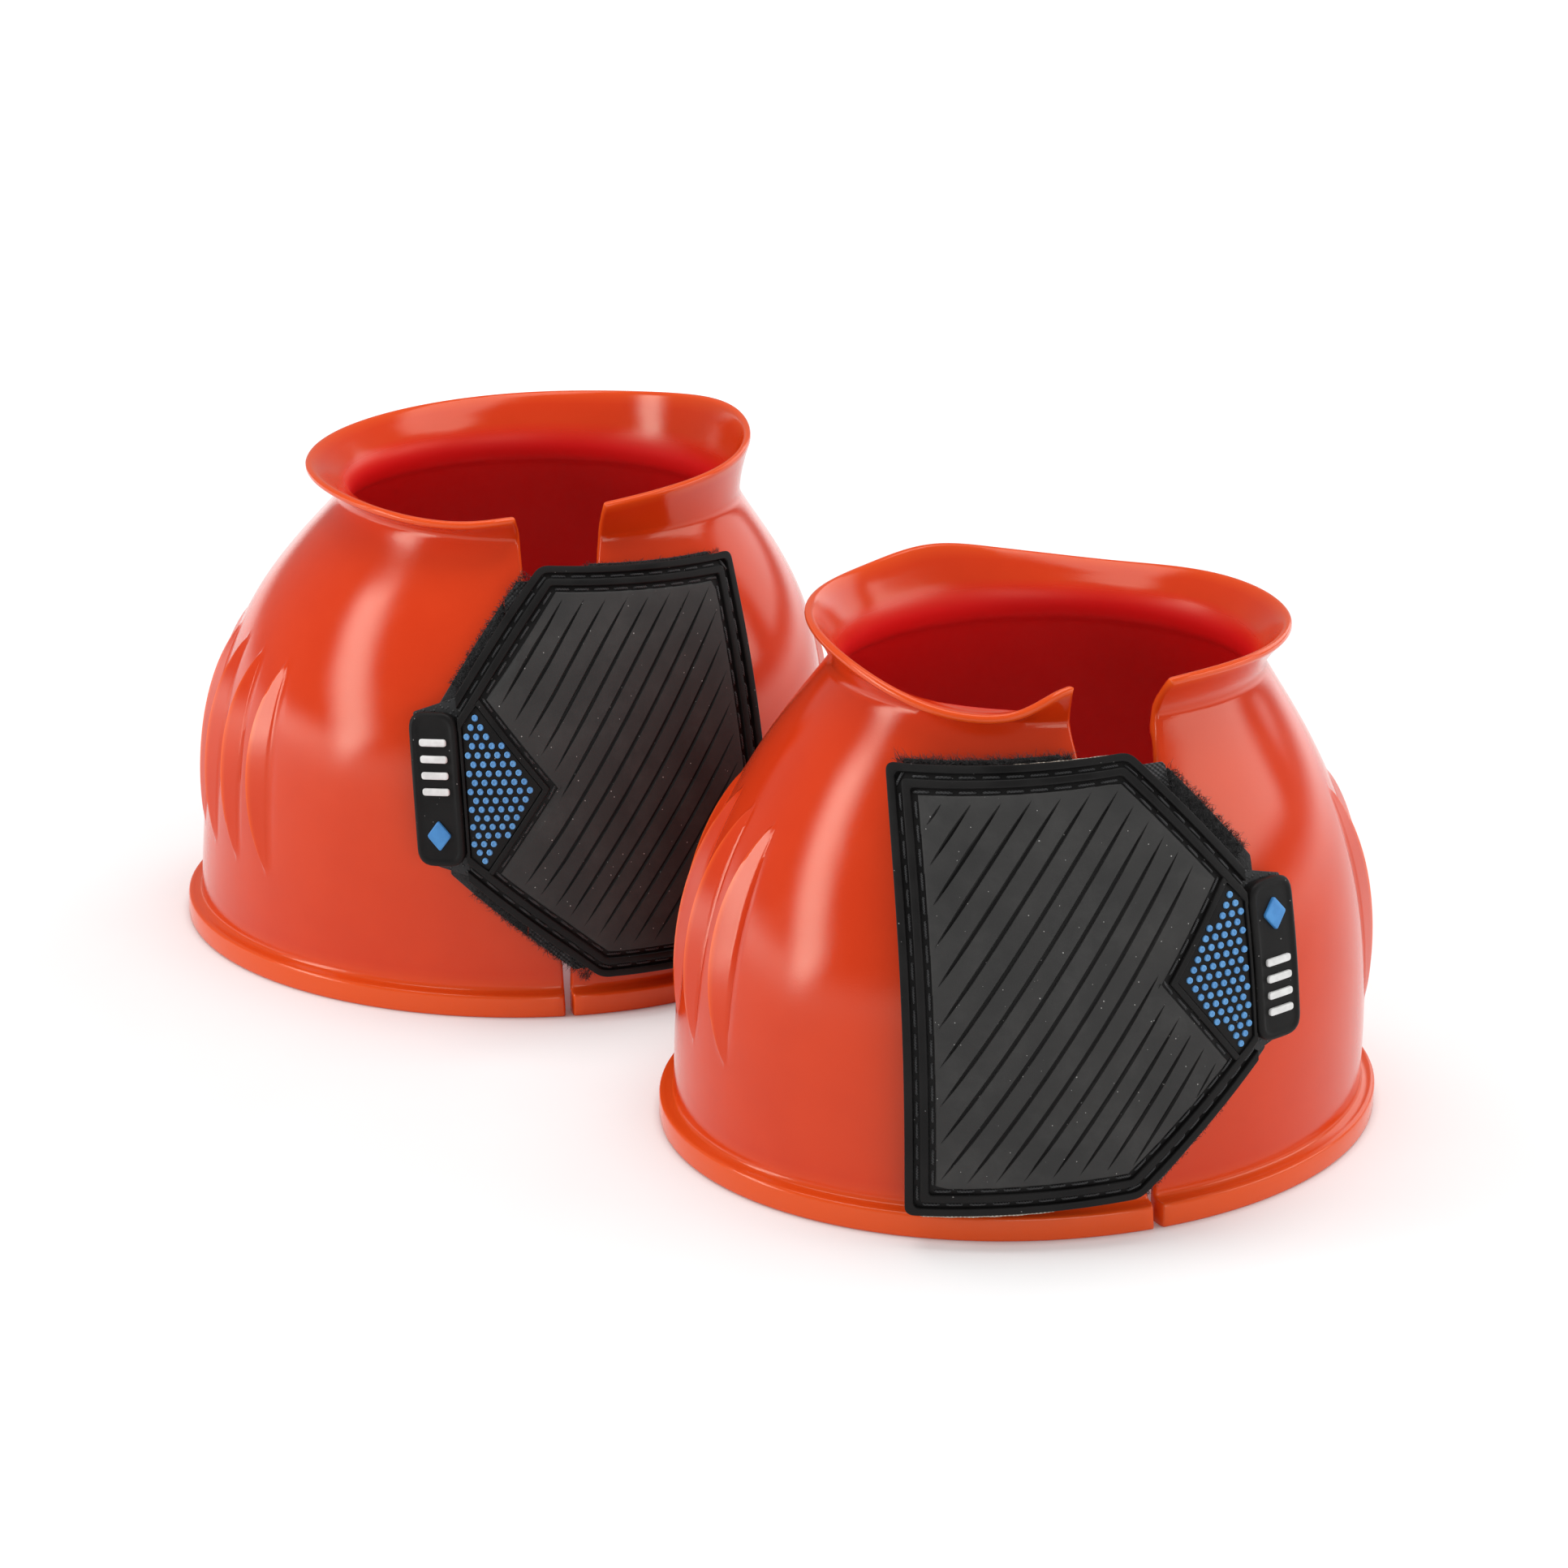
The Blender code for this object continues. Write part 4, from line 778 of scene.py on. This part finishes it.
# %% Grooved field
def field_grid(part, up):
    """Top of the field left or right of the notch's upper edge. A line's place is a reference point on the axis
    across the grooves plus a run along its own direction, which fans out a little. A groove's half width narrows
    to its two points by a power of the distance from them, and its depth follows. The strap that lies the other
    way up has the same field turned over."""
    ring = np.array(corners)
    if up < 0:
        ring = ring[::-1] * (1, -1) + (0, 2 * tip_middle)
    notch, slant, step = ring[3], math.radians(53.2), 0.0045
    across = np.array([math.sin(slant), -math.cos(slant)])

    def direction(line):
        """The lines turn by 2 degrees over 70 mm."""
        fan = slant + np.radians(line / 0.070 * 2.0)
        return np.stack([np.cos(fan), np.sin(fan)], axis=-1)

    # The line through each corner depends on its own direction, so it is found in four rounds
    reach = (ring - notch) @ across
    run = (ring - notch) @ np.array([math.cos(slant), math.sin(slant)])
    for _ in range(4):
        reach = (ring - notch) @ across - run * (direction(reach) @ across)
    first, last = (reach.min(), 0.0) if part == "left" else (-0.0003, reach.max())
    # Lines of each groove, as shares of its half width, plain lines halfway between grooves, and the two last ones
    half = np.array([0.2, 0.5, 0.8, 1, 1.15, 1.6])
    shares = np.concatenate([-half[::-1], [0], half])
    centre = -0.0018 + step * np.arange(-25, 26)
    centre = centre[(centre > first + 0.001) & (centre < last - 0.001)]
    line = np.concatenate([np.repeat(centre, len(shares)), centre + step / 2, centre - step / 2, [first, last]])
    share = np.concatenate([np.tile(shares, len(centre)), np.zeros(2 * len(centre) + 2)])
    plain = np.arange(len(line)) >= len(centre) * len(shares)
    # In order of place, without doubled plain lines
    order = np.lexsort((share, np.round(line, 7)))
    line, share, plain = line[order], share[order], plain[order]
    keep = (line >= first) & (line <= last) & ~(plain & np.append(False, np.diff(line) < 1e-7))
    line, share, plain = line[keep], share[keep], plain[keep]
    # Each line is cut where it crosses the field's sides. Sides 2 and 3 are the notch's: the left part passes them,
    # and the right part ends on the lower one
    ahead, start = direction(line), notch + line[:, None] * across
    a, b = ring, np.roll(ring, -1, axis=0)
    side, gap = b - a, a[None] - start[:, None]
    cross = ahead[:, None, 0] * side[None, :, 1] - ahead[:, None, 1] * side[None, :, 0]
    along = (gap[..., 0] * side[None, :, 1] - gap[..., 1] * side[None, :, 0]) / cross
    on_edge = (gap[..., 0] * ahead[:, None, 1] - gap[..., 1] * ahead[:, None, 0]) / cross
    reach_past = np.where(np.arange(7) == 2, 0.1, 0.003)
    inside = (on_edge > -0.003) & (on_edge < 1 + reach_past) & (np.abs(cross) > 1e-9)
    inside[:, slice(2, 4) if part == "left" else slice(3, 6)] = False
    low = np.where(inside, along, np.inf).min(axis=1)
    high = np.where(inside, along, -np.inf).max(axis=1)
    t_end = np.array([0.96, 0.98, 0.99, 0.995, 0.998, 1])
    t = np.concatenate([[0, 0.002, 0.005, 0.010, 0.02, 0.04], np.linspace(0.06, 0.94, 52), t_end])
    run = low + (high - low) * t[:, None]
    # The groove over the notch's point ends early. Grooves narrow and get shallow by their nearness to an end
    last_run = np.where((line < -0.0009) & (line > -0.0030), np.minimum(high, 0.0035), high)
    near = np.minimum(run - low, last_run - run) - 0.0024
    width = 0.00006 + 0.00042 * np.clip(near / 0.0120, 0, 1) ** 0.6 * (near > 0)
    flat = start + ahead * run[..., None] + across * (share * width)[..., None]
    cut = np.clip(1 - np.abs(share) ** 2.4, 0, 1) * ~plain
    depth = 0.00095 * cut * np.clip(near / 0.0050, 0, 1) ** 0.7
    # The border is rounded by each point's distance from the nearest side, and the right part's first strip lies
    # just under the left part
    bevel = 0.0004
    point_to = flat[:, :, None] - a[None, None]
    length = np.linalg.norm(side, axis=1)
    along_side = side / length[:, None]
    away = along_side[:, 0] * point_to[..., 1] - along_side[:, 1] * point_to[..., 0]
    past = (point_to * along_side).sum(axis=-1)
    off_end = np.maximum(np.maximum(-past, past - length), 0)
    border = np.sqrt(away**2 + off_end**2).min(axis=-1)
    round_off = bevel * (1 - np.sqrt(1 - (1 - np.clip(border / bevel, 0, 1)) ** 2))
    under = 0.00003 * (line < -0.00005) * (part == "right")
    grid = np.concatenate([flat, (face - 0.0004 - depth - round_off - under)[..., None]], axis=-1)
    if up < 0:
        grid = grid[::-1] * (1, -1, 1) + (0, 2 * tip_middle, 0)
    return grid


def make_field(name):
    """Both parts of the field, each closed by its copy at the floor's height."""
    boot = boots[name]
    points, faces, count = [], [], 0
    for part in ("left", "right"):
        top = field_grid(part, boot["up"])
        low = top.copy()
        low[..., 2] = floor_height - 0.0002
        both = np.concatenate([top.reshape(-1, 3), low.reshape(-1, 3)])
        faces.append(closed_sheet(quads(*top.shape[:2]), top[..., 0].size) + count)
        points.append(both)
        count += len(both)
    flat = np.concatenate(points) + np.array([0, 0, face_low])
    made = make_piece(name + "_strap_field", wrap(boot, flat), np.concatenate(faces), strap_rubber,
                      boot["side"] < 0, sharp=38.0, values={"flat": flat})
    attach(made, name + "_outer_strap")


for name in boots:
    make_field(name)

# %% [markdown]
# The insert sits in a frame level with the rib. Its blue dots are low discs with a small dimple, set in a
# triangular pattern on dark rubber. They all share one small form.


# %% Insert frame and floor
def make_frame(name):
    """One loop of profiles: up the outer wall, which lies in the rib, and down the insert's side."""
    ring = field_corners(-channel)
    rib_line = outline(strap, sides(lip + channel + 0.6 * rib), 0.0, [1] * 6, closed=False)
    high, low = ring[4], ring[2]
    outer = [ring[3], low, (tip, rib_line[-1][1]), (tip, rib_line[0][1]), high]
    steps = [12, 4, 14, 4, 12]
    pairs = [(0.0, 0.0)] + edge_round(0.0, face - 0.00002, 0.0003)
    loops = [add_height(outline(outer, d, 0.0003, steps), h) for d, h in pairs]
    pairs = [(-d, h) for d, h in reversed(edge_round(0.0, face - 0.00002, 0.0002))]
    pairs += [(0.0, floor_height), (0.0, 0.0)]
    loops += [add_height(outline(insert, d, 0.0003, steps), h) for d, h in pairs]
    on_face(name, "insert_frame", [np.array(loops)], ridge_rubber, (), "strap_rubber", closed=(True, True))


def make_insert(name):
    """The insert's dark ground, a little below the frame."""
    ground = plate(insert, floor_height - 0.0002, face - 0.0006, edge=0.0002, inset=0.0001, rings=8)
    on_face(name, "insert_ground", [ground], ridge_rubber, ["grip_insert"], "grip_rubber")


for make in (make_frame, make_insert):
    for name in boots:
        make(name)


# %% Grip dots
def inside_by(points, corners):
    """Least distance of each point from the sides of an anticlockwise polygon, measured inwards."""
    corners = np.array(corners)
    ahead = np.roll(corners, -1, axis=0) - corners
    ahead /= np.linalg.norm(ahead, axis=1)[:, None]
    gap = points[:, None] - corners
    return (ahead[None, :, 0] * gap[..., 1] - ahead[None, :, 1] * gap[..., 0]).min(axis=1)


def make_dots(name):
    """Every dot is a profile of radii and rises turned round its own centre."""
    pitch = 0.00235
    row, column = np.meshgrid(np.arange(-12, 13), np.arange(-12, 16), indexing="ij")
    places = np.stack([0.0070 + pitch * (column + 0.5 * (row % 2)), tip_middle + pitch * 0.866 * row], axis=-1)
    places = places.reshape(-1, 2)
    places = places[inside_by(places, insert) > 0.00085]
    radii = np.array([0.00076, 0.00074, 0.00066, 0.00050, 0.00034, 0.00018, 0.0])[:, None]
    rises = np.array([-0.0002, 0.00020, 0.00038, 0.00044, 0.00036, 0.00024, 0.00022])[:, None]
    turn = np.linspace(0, 2 * math.pi, 13)[:-1]
    form = np.stack(np.broadcast_arrays(radii * np.cos(turn), radii * np.sin(turn), rises), axis=-1)
    form = np.concatenate([form[:1] * (0, 0, 1), form])
    centre = np.concatenate([places, np.full((len(places), 1), face - 0.0006)], axis=1)
    on_face(name, "grip_dots", list(centre[:, None, None] + form), dot_blue, (), "grip_rubber", sharp=60.0)


for name in boots:
    make_dots(name)

# %% [markdown]
# The pull tab overlaps the strap's tip: a soft-edged rubber plate with a sunk floor. The floor holds a plain
# lozenge and white grip bars.


# %% Pull tab
def rectangle(start, end, low, high):
    """Corners of an upright rectangle, anticlockwise."""
    return [(start, low), (end, low), (end, high), (start, high)]


def make_tab(name):
    """The tab, its lozenge and its bars. A long plate is filled in to a line along its middle, not to one point."""
    start, end = tip + 0.0003, tip + 0.0123
    low, high = tip_middle - 0.0175, tip_middle + 0.0175
    middle, up = (start + end) / 2, boots[name]["up"]
    top = face + 0.0006
    floor = top - 0.00035
    corners = rectangle(start, end, low, high)
    loop = outline(corners, 0.0, 0.0042)
    spine = np.stack([0 * loop[:, 0] + middle, np.clip(loop[:, 1], low + 0.006, high - 0.006)], axis=1)
    sunk = [(0.0013, top - 0.00005), (0.0016, floor + 0.0001), (0.0020, floor)]
    grid = plate(corners, -0.0006, top, 0.0010, 0.0042, spine, 6, extra=sunk)
    on_face(name, "soft_pull_tab", [grid], ridge_rubber, ["pull_tab"], "strap_rubber")
    rise, wide, tall = tip_middle + 0.0100 * up, 0.0030, 0.0036
    lozenge = [(middle, rise - tall), (middle + wide, rise), (middle, rise + tall), (middle - wide, rise)]
    grid = plate(lozenge, floor - 0.0001, floor + 0.0008, 0.0003, 0.0006, rings=4)
    on_face(name, "plain_lozenge", [grid], badge_blue, ["tab_badge"], "badge_blue")
    grids = []
    for foot in tip_middle - 0.0055 * up - 0.0062 + 0.0036 * np.arange(4):
        bar = rectangle(middle - 0.0033, middle + 0.0033, foot, foot + 0.0016)
        loop = outline(bar, 0.0, 0.0007)
        spine = np.stack([np.clip(loop[:, 0], middle - 0.0025, middle + 0.0025), 0 * loop[:, 0] + foot + 0.0008], 1)
        grids.append(plate(bar, floor - 0.0001, floor + 0.00075, 0.0003, 0.0007, spine, 4))
    on_face(name, "grip_bars", grids, bar_white, ["tab_grip_bars"], "bar_white")


for name in boots:
    make_tab(name)

# %% [markdown]
# Stitches lie in both channels. Each is a short thread that dips in at its ends, a capsule bent along its path.


# %% Stitches
stitch_length, stitch_gap, thread_radius = 0.0043, 0.0006, 0.00027


def stitch_grids(path, height):
    """Evenly spaced stitches along a path: each is a tube whose radius falls to nothing at both ends, and whose
    ends dip by the square of how far they are past the middle half."""
    run = np.concatenate([[0], np.cumsum(np.linalg.norm(np.diff(path, axis=0), axis=1))])
    count = int(run[-1] / (stitch_length + stitch_gap))
    middle = (np.arange(count) + 0.5) * run[-1] / count
    here, back, front = (np.stack([np.interp(middle + d, run, path[:, k]) for k in (0, 1)], axis=1)
                         for d in (0, -0.001, 0.001))
    ahead = (front - back) / np.linalg.norm(front - back, axis=1)[:, None]
    side = np.stack([-ahead[:, 1], ahead[:, 0]], axis=1)
    along = np.linspace(-1, 1, 9)
    radius = (thread_radius * np.clip(1 - np.abs(along) ** 6, 0, 1) ** 0.5)[:, None]
    dip = (0.00055 * np.clip((np.abs(along) - 0.55) / 0.45, 0, 1) ** 2)[:, None]
    turn = np.linspace(0, 2 * math.pi, 9)[:-1]
    across, up = radius * np.cos(turn), height - dip + radius * np.sin(turn)
    flat = here[:, None, None] + ahead[:, None, None] * (along * stitch_length / 2)[None, :, None, None]
    flat = flat + side[:, None, None] * across[None, ..., None]
    return list(np.concatenate([flat, np.broadcast_to(up[None, ..., None], flat.shape[:3] + (1,))], axis=-1))


def make_stitches(name):
    """Two rows of threads: along the middle of the outer channel, and of the inner one."""
    outer = outline(strap, sides(lip + channel / 2), [0, 0.0015, 0.0015, 0.0015, 0.0015, 0], closed=False)
    inner = outline(field_corners(-channel / 2), 0.0, 0.0008)
    grids = [grid for path in (outer, np.concatenate([inner, inner[:1]]))
             for grid in stitch_grids(path, floor_height + 0.00015)]
    rows = ["stitch_row_foot", "stitch_row_top", "stitch_row_inner"]
    on_face(name, "stitches", grids, thread, rows, "thread", sharp=60.0)


for name in boots:
    make_stitches(name)

# %% [markdown]
# Under the face lie the fabrics. Each is a slim plate with the outline its maker would cut.


# %% Fabric layers
pile_margin = {"right": 0.0054, "left": 0.0032}


def make_fabrics(name):
    """The six fabrics of one boot, from the skin outwards. Pile and strap end on lines beside the panel's two
    slanting sides: a line is a start and a direction."""

    def cloth(title, corners, finish, low, thick, body, node_name, slot, edge, radius, rings, inset=0.0):
        """One plate, attached to the body that it lies on."""
        grid = plate(corners, 0.0, thick, edge, radius, rings=rings, inset=inset)
        piece = make_wrapped(name, title, [grid], finish, low, body, [node_name], slot)

    def beside(a, b, distance):
        """The line that runs at a distance to the left of a to b."""
        ahead = unit(a, b)
        return np.array(a) + np.array([-ahead[1], ahead[0]]) * distance, ahead

    def at(line, axis, value):
        """The point of a line where u (axis 0) or the way up (axis 1) has this value."""
        start, ahead = line
        return start + ahead * (value - start[axis]) / ahead[axis]

    tip_top, top, flat_top, flat_foot, foot, tip_foot = (np.array(p) for p in strap)
    low_line = beside(foot, tip_foot, -0.0034)
    high_line = beside(tip_top, top, -pile_margin[name])
    start, end, inner_end = 0.0102, tip + 0.0055, 0.0098
    tab_tip, far_side = tip + 0.0123, -0.0260
    patch = [(-0.0515, 0.0115), (-0.0125, 0.0115), (-0.0125, 0.1124), (-0.0490, 0.1090)]
    cloth("near_pile", patch, pile, patch_low, 0.0014, "boot", "near_loop_patch", "loop_pile",
          0.0004, 0.0015, 14)
    edge = [flat_foot, flat_foot + (0.0050, 0), flat_top + (0.0050, 0), flat_top]
    cloth("sewn_edge", edge, webbing, patch_low, lining_low - 0.0003 - patch_low, "boot", "strap_anchor", "webbing",
          0.0004, 0.0006, 6)
    base = [at(low_line, 0, start), at(low_line, 0, end), at(high_line, 0, end), at(high_line, 0, start)]
    cloth("pile_margin", base, pile, patch_low, inner_low + 0.0014 - patch_low, "boot", "inner_strap_base",
          "loop_pile", 0.0004, 0.0004, 12)
    inner = [(far_side, 0.0130), at(low_line, 1, 0.0130), at(low_line, 0, inner_end), at(high_line, 0, inner_end),
             at(high_line, 1, 0.1080), (far_side, 0.1080)]
    cloth("inner_webbing", inner, webbing, inner_low, 0.0014, "inner_flap", "inner_strap", "webbing",
          0.0004, 0.0004, 14)
    cloth("inner_hooks", rectangle(far_side, -0.0125, 0.0130, 0.1058), hook_tape, hook_low, 0.0007, "inner_flap",
          "inner_strap_hook_face", "hook_tape", 0.0002, 0.0004, 14)
    lining = [flat_foot, foot, tip_foot, (tab_tip, tip_middle - 0.0175), (tab_tip, tip_middle + 0.0175), tip_top,
              top, flat_top]
    cloth("hook_lining", lining, hook_tape, lining_low, 0.0009, "outer_strap", "strap_hook_lining", "hook_tape",
          0.0002, 0.0006, 16, inset=0.0002)


for name in boots:
    make_fabrics(name)

# %% [markdown]
# Loop pile frays where it is cut. Its threads are too fine for a bump map at an edge, so a few thousand of them
# are modelled: each is a three-sided tube that leaves its root in a random direction and curls over.


# %% Frayed pile
def fibre_grids(roots, lean_to, length, rng, radius=0.00006):
    """Rows of points for one tube a root: root plus length times (share along its direction, plus share squared
    along a sideways curl). Both ends shrink to a point."""
    count = len(roots)
    ahead = lean_to + rng.normal(0, 0.55, (count, 3))
    ahead /= np.linalg.norm(ahead, axis=1)[:, None]
    curl = np.cross(ahead, rng.normal(0, 1, (count, 3)))
    curl /= np.linalg.norm(curl, axis=1)[:, None]
    size = (length * rng.uniform(0.4, 1.0, count))[:, None, None]
    t = np.array([0, 0, 0.3, 0.6, 0.85, 1.0])[None, :, None]
    spine = roots[:, None] + size * (ahead[:, None] * t * (1 - 0.35 * t) + curl[:, None] * 0.9 * t**2)
    other = np.cross(ahead, curl)
    turn = np.array([0, 2.0944, 4.1888])
    thick = radius * np.array([0, 1, 1, 0.9, 0.7, 0])[None, :, None, None]
    around = np.cos(turn)[:, None] * curl[:, None, None] + np.sin(turn)[:, None] * other[:, None, None]
    return spine[:, :, None] + thick * around


def make_fray(name):
    """Fibres along three edges. Each edge has its number of fibres, the shares where they start and end, how far
    out and how high their roots lie, and their greatest length."""
    rng = np.random.default_rng(11 if name == "right" else 12)
    tip_top, top, flat_top, _, foot, tip_foot = (np.array(p) for p in strap)
    margin = pile_margin[name]
    top_long, high_long, low_long, last = {"right": (0.0030, 0.0022, 0.0008, 0.74),
                                           "left": (0.0013, 0.0013, 0.0020, 0.93)}[name]
    grids = []
    for first, second, count, ends, reach, heights, length in (
        (top, flat_top, 1800, (0.22, 0.97), (-0.0002, 0.0016), (0.0016, 0.0060), top_long),
        (tip_top, top, 1500, (0.02, last), (0.2 * margin, margin + 0.0003), (0.0036, 0.0050), high_long),
        (foot, tip_foot, 1300, (0.02, last), (0.0005, 0.0035), (0.0034, 0.0048), low_long),
    ):
        places = first + (second - first) * rng.uniform(*ends, count)[:, None]
        ahead = unit(first, second)
        out = np.array([ahead[1], -ahead[0]])
        places = places + out * rng.uniform(*reach, count)[:, None]
        roots = np.concatenate([places, rng.uniform(*heights, count)[:, None]], axis=1)
        grids.extend(fibre_grids(roots, np.array([*out * 0.9, 0.7]), length, rng))
    make_wrapped(name, "frayed_pile", grids, pile, 0.0, "boot", slot="loop_pile", sharp=80.0)


for name in boots:
    make_fray(name)

# %% [markdown]
# A sliver of the pale backing cloth shows under the strap's foot edge and its top edge, where it was trimmed.

# %% Pale backing
backing, tree, shader = new_finish("pale_backing_cloth", (0.62, 0.56, 0.47), 0.9, Sheen_Weight=0.2)
threads = use(tree, weave, Place=flat_place(tree), Threads=7000.0)
paint(tree, shader, threads["Gap"], (0.40, 0.34, 0.27), (0.72, 0.66, 0.57))
raise_surface(tree, shader, threads["Height"], 0.0002, 0.7)


def make_backing(name):
    """A slim round sliver along each edge: its radius swells and fades with two sines. Each has the shares of the
    edge where it starts and ends, its height and how far out it lies, and which way is out."""
    _, top, flat_top, flat_foot, foot, _ = (np.array(p) for p in strap)
    t = np.linspace(0, 1, 90)
    radius = 0.00028 * np.sin(math.pi * t) ** 0.4 * (0.8 + 0.2 * np.sin(37 * t))
    turn = np.linspace(0, 2 * math.pi, 9)[:-1, None]
    grids = []
    for first, second, low, high, rise, beyond, way in (
        (flat_foot, foot, 0.06, 0.62, 0.0019, 0.00030, 1),
        (flat_top, top, 0.45, 0.93, 0.0002, 0.00035, -1),
    ):
        ahead = unit(first, second)
        out = np.array([ahead[1], -ahead[0]]) * way
        spine = first + (second - first) * (low + (high - low) * t)[:, None] + out * beyond
        flat = spine + out * (radius * np.cos(turn))[..., None]
        grids.append(np.concatenate([flat, (rise + radius * np.sin(turn))[..., None]], axis=-1)[::way])
    on_face(name, "pale_backing", grids, backing, (), "hook_tape", closed=(True, False))


for name in boots:
    make_backing(name)

# %% [markdown]
# A pale floor and six soft lights, as for a catalogue. To the camera, and to glossy and see-through rays, the
# floor also gives a little light of its own, which lifts it to white and keeps the soft shadow. Under the boots
# it gives none.

# %% Floor and world
paper, tree, shader = new_finish("studio_paper", (0.80, 0.79, 0.79), 0.9, Specular_IOR_Level=0.2)
paths = node(tree, "LightPath")
seen = maths(tree, "MAXIMUM", paths.outputs["Is Camera Ray"], paths.outputs["Is Glossy Ray"])
seen = maths(tree, "MAXIMUM", seen, paths.outputs["Is Transmission Ray"])
fibre = noise(tree, object_place(tree), 40.0, 3.0, 0.5)
paint(tree, shader, fibre, (0.79, 0.785, 0.785), (0.81, 0.805, 0.805))
shader.inputs["Emission Strength"].default_value = 1.0
far = node(tree, "VectorMath", {"operation": "LENGTH"}, i0=object_place(tree)).outputs["Value"]
lift = maths(tree, "MULTIPLY", seen, between(tree, far, 0.30, 1.30, 0.22, 1.0))
footprint = (foot_radius + rim_out, foot_radius * foot_oval + rim_out, 1)
for boot in boots.values():
    inside = node(tree, "Mapping", {"vector_type": "TEXTURE"}, Vector=object_place(tree), Scale=footprint,
                  Location=(*boot["place"], 0), Rotation=(0, 0, math.radians(boot["turn"])))
    share = node(tree, "VectorMath", {"operation": "LENGTH"}, i0=inside.outputs[0]).outputs["Value"]
    lift = maths(tree, "MULTIPLY", lift, between(tree, share, 0.98, 1.03))
glow = node(tree, "CombineColor", i0=lift, i1=lift, i2=lift)
tree.links.new(glow.outputs[0], shader.inputs["Emission Color"])
half = 250.0
floor_points = np.array([(-half, -half, 0), (half, -half, 0), (half, half, 0), (-half, half, 0)])
floor = make_piece("studio_floor", floor_points, np.array([[0, 1, 2, 3]]), paper)

world = bpy.data.worlds.new("studio")
world.use_nodes = True
bpy.context.scene.world = world
tree = world.node_tree
background = tree.nodes["Background"]
background.inputs["Strength"].default_value = 0.34
background.inputs["Color"].default_value = (1, 1, 1, 1)


# %% Lights
def softbox(name, place, width, height, energy, along=(0, 0, 1)):
    """An area light that looks at the boots, with its height laid as near as possible to the direction along."""
    lamp = bpy.data.lights.new(name, "AREA")
    lamp.shape = "RECTANGLE"
    lamp.size, lamp.size_y, lamp.energy = width, height, energy
    back = np.array(place) - (0, 0, 0.08)
    back = back / np.linalg.norm(back)
    side = np.cross(along, back)
    side = side / np.linalg.norm(side)
    made = bpy.data.objects.new(name, lamp)
    turned = Matrix(np.stack([side, np.cross(back, side), back], axis=1).tolist())
    made.location, made.rotation_euler = place, turned.to_euler()
    bpy.context.collection.objects.link(made)


softbox("left_strip", (-1.13, -0.27, 0.465), 0.27, 1.00, 6, along=(0.104, -0.528, -0.85))
softbox("left_floor", (-1.60, -0.15, 0.07), 1.30, 0.12, 1.2)
softbox("right_box", (1.193, -0.125, 0.49), 0.90, 0.50, 4)
softbox("right_back", (0.95, 0.95, 0.60), 0.90, 0.70, 3)
softbox("front_fill", (0.55, -1.50, 0.40), 1.00, 0.50, 5)
softbox("top", (0.05, 0.05, 1.50), 0.90, 1.60, 13.5, along=(1, 0, 0))
print("lights:", len(bpy.data.lights))
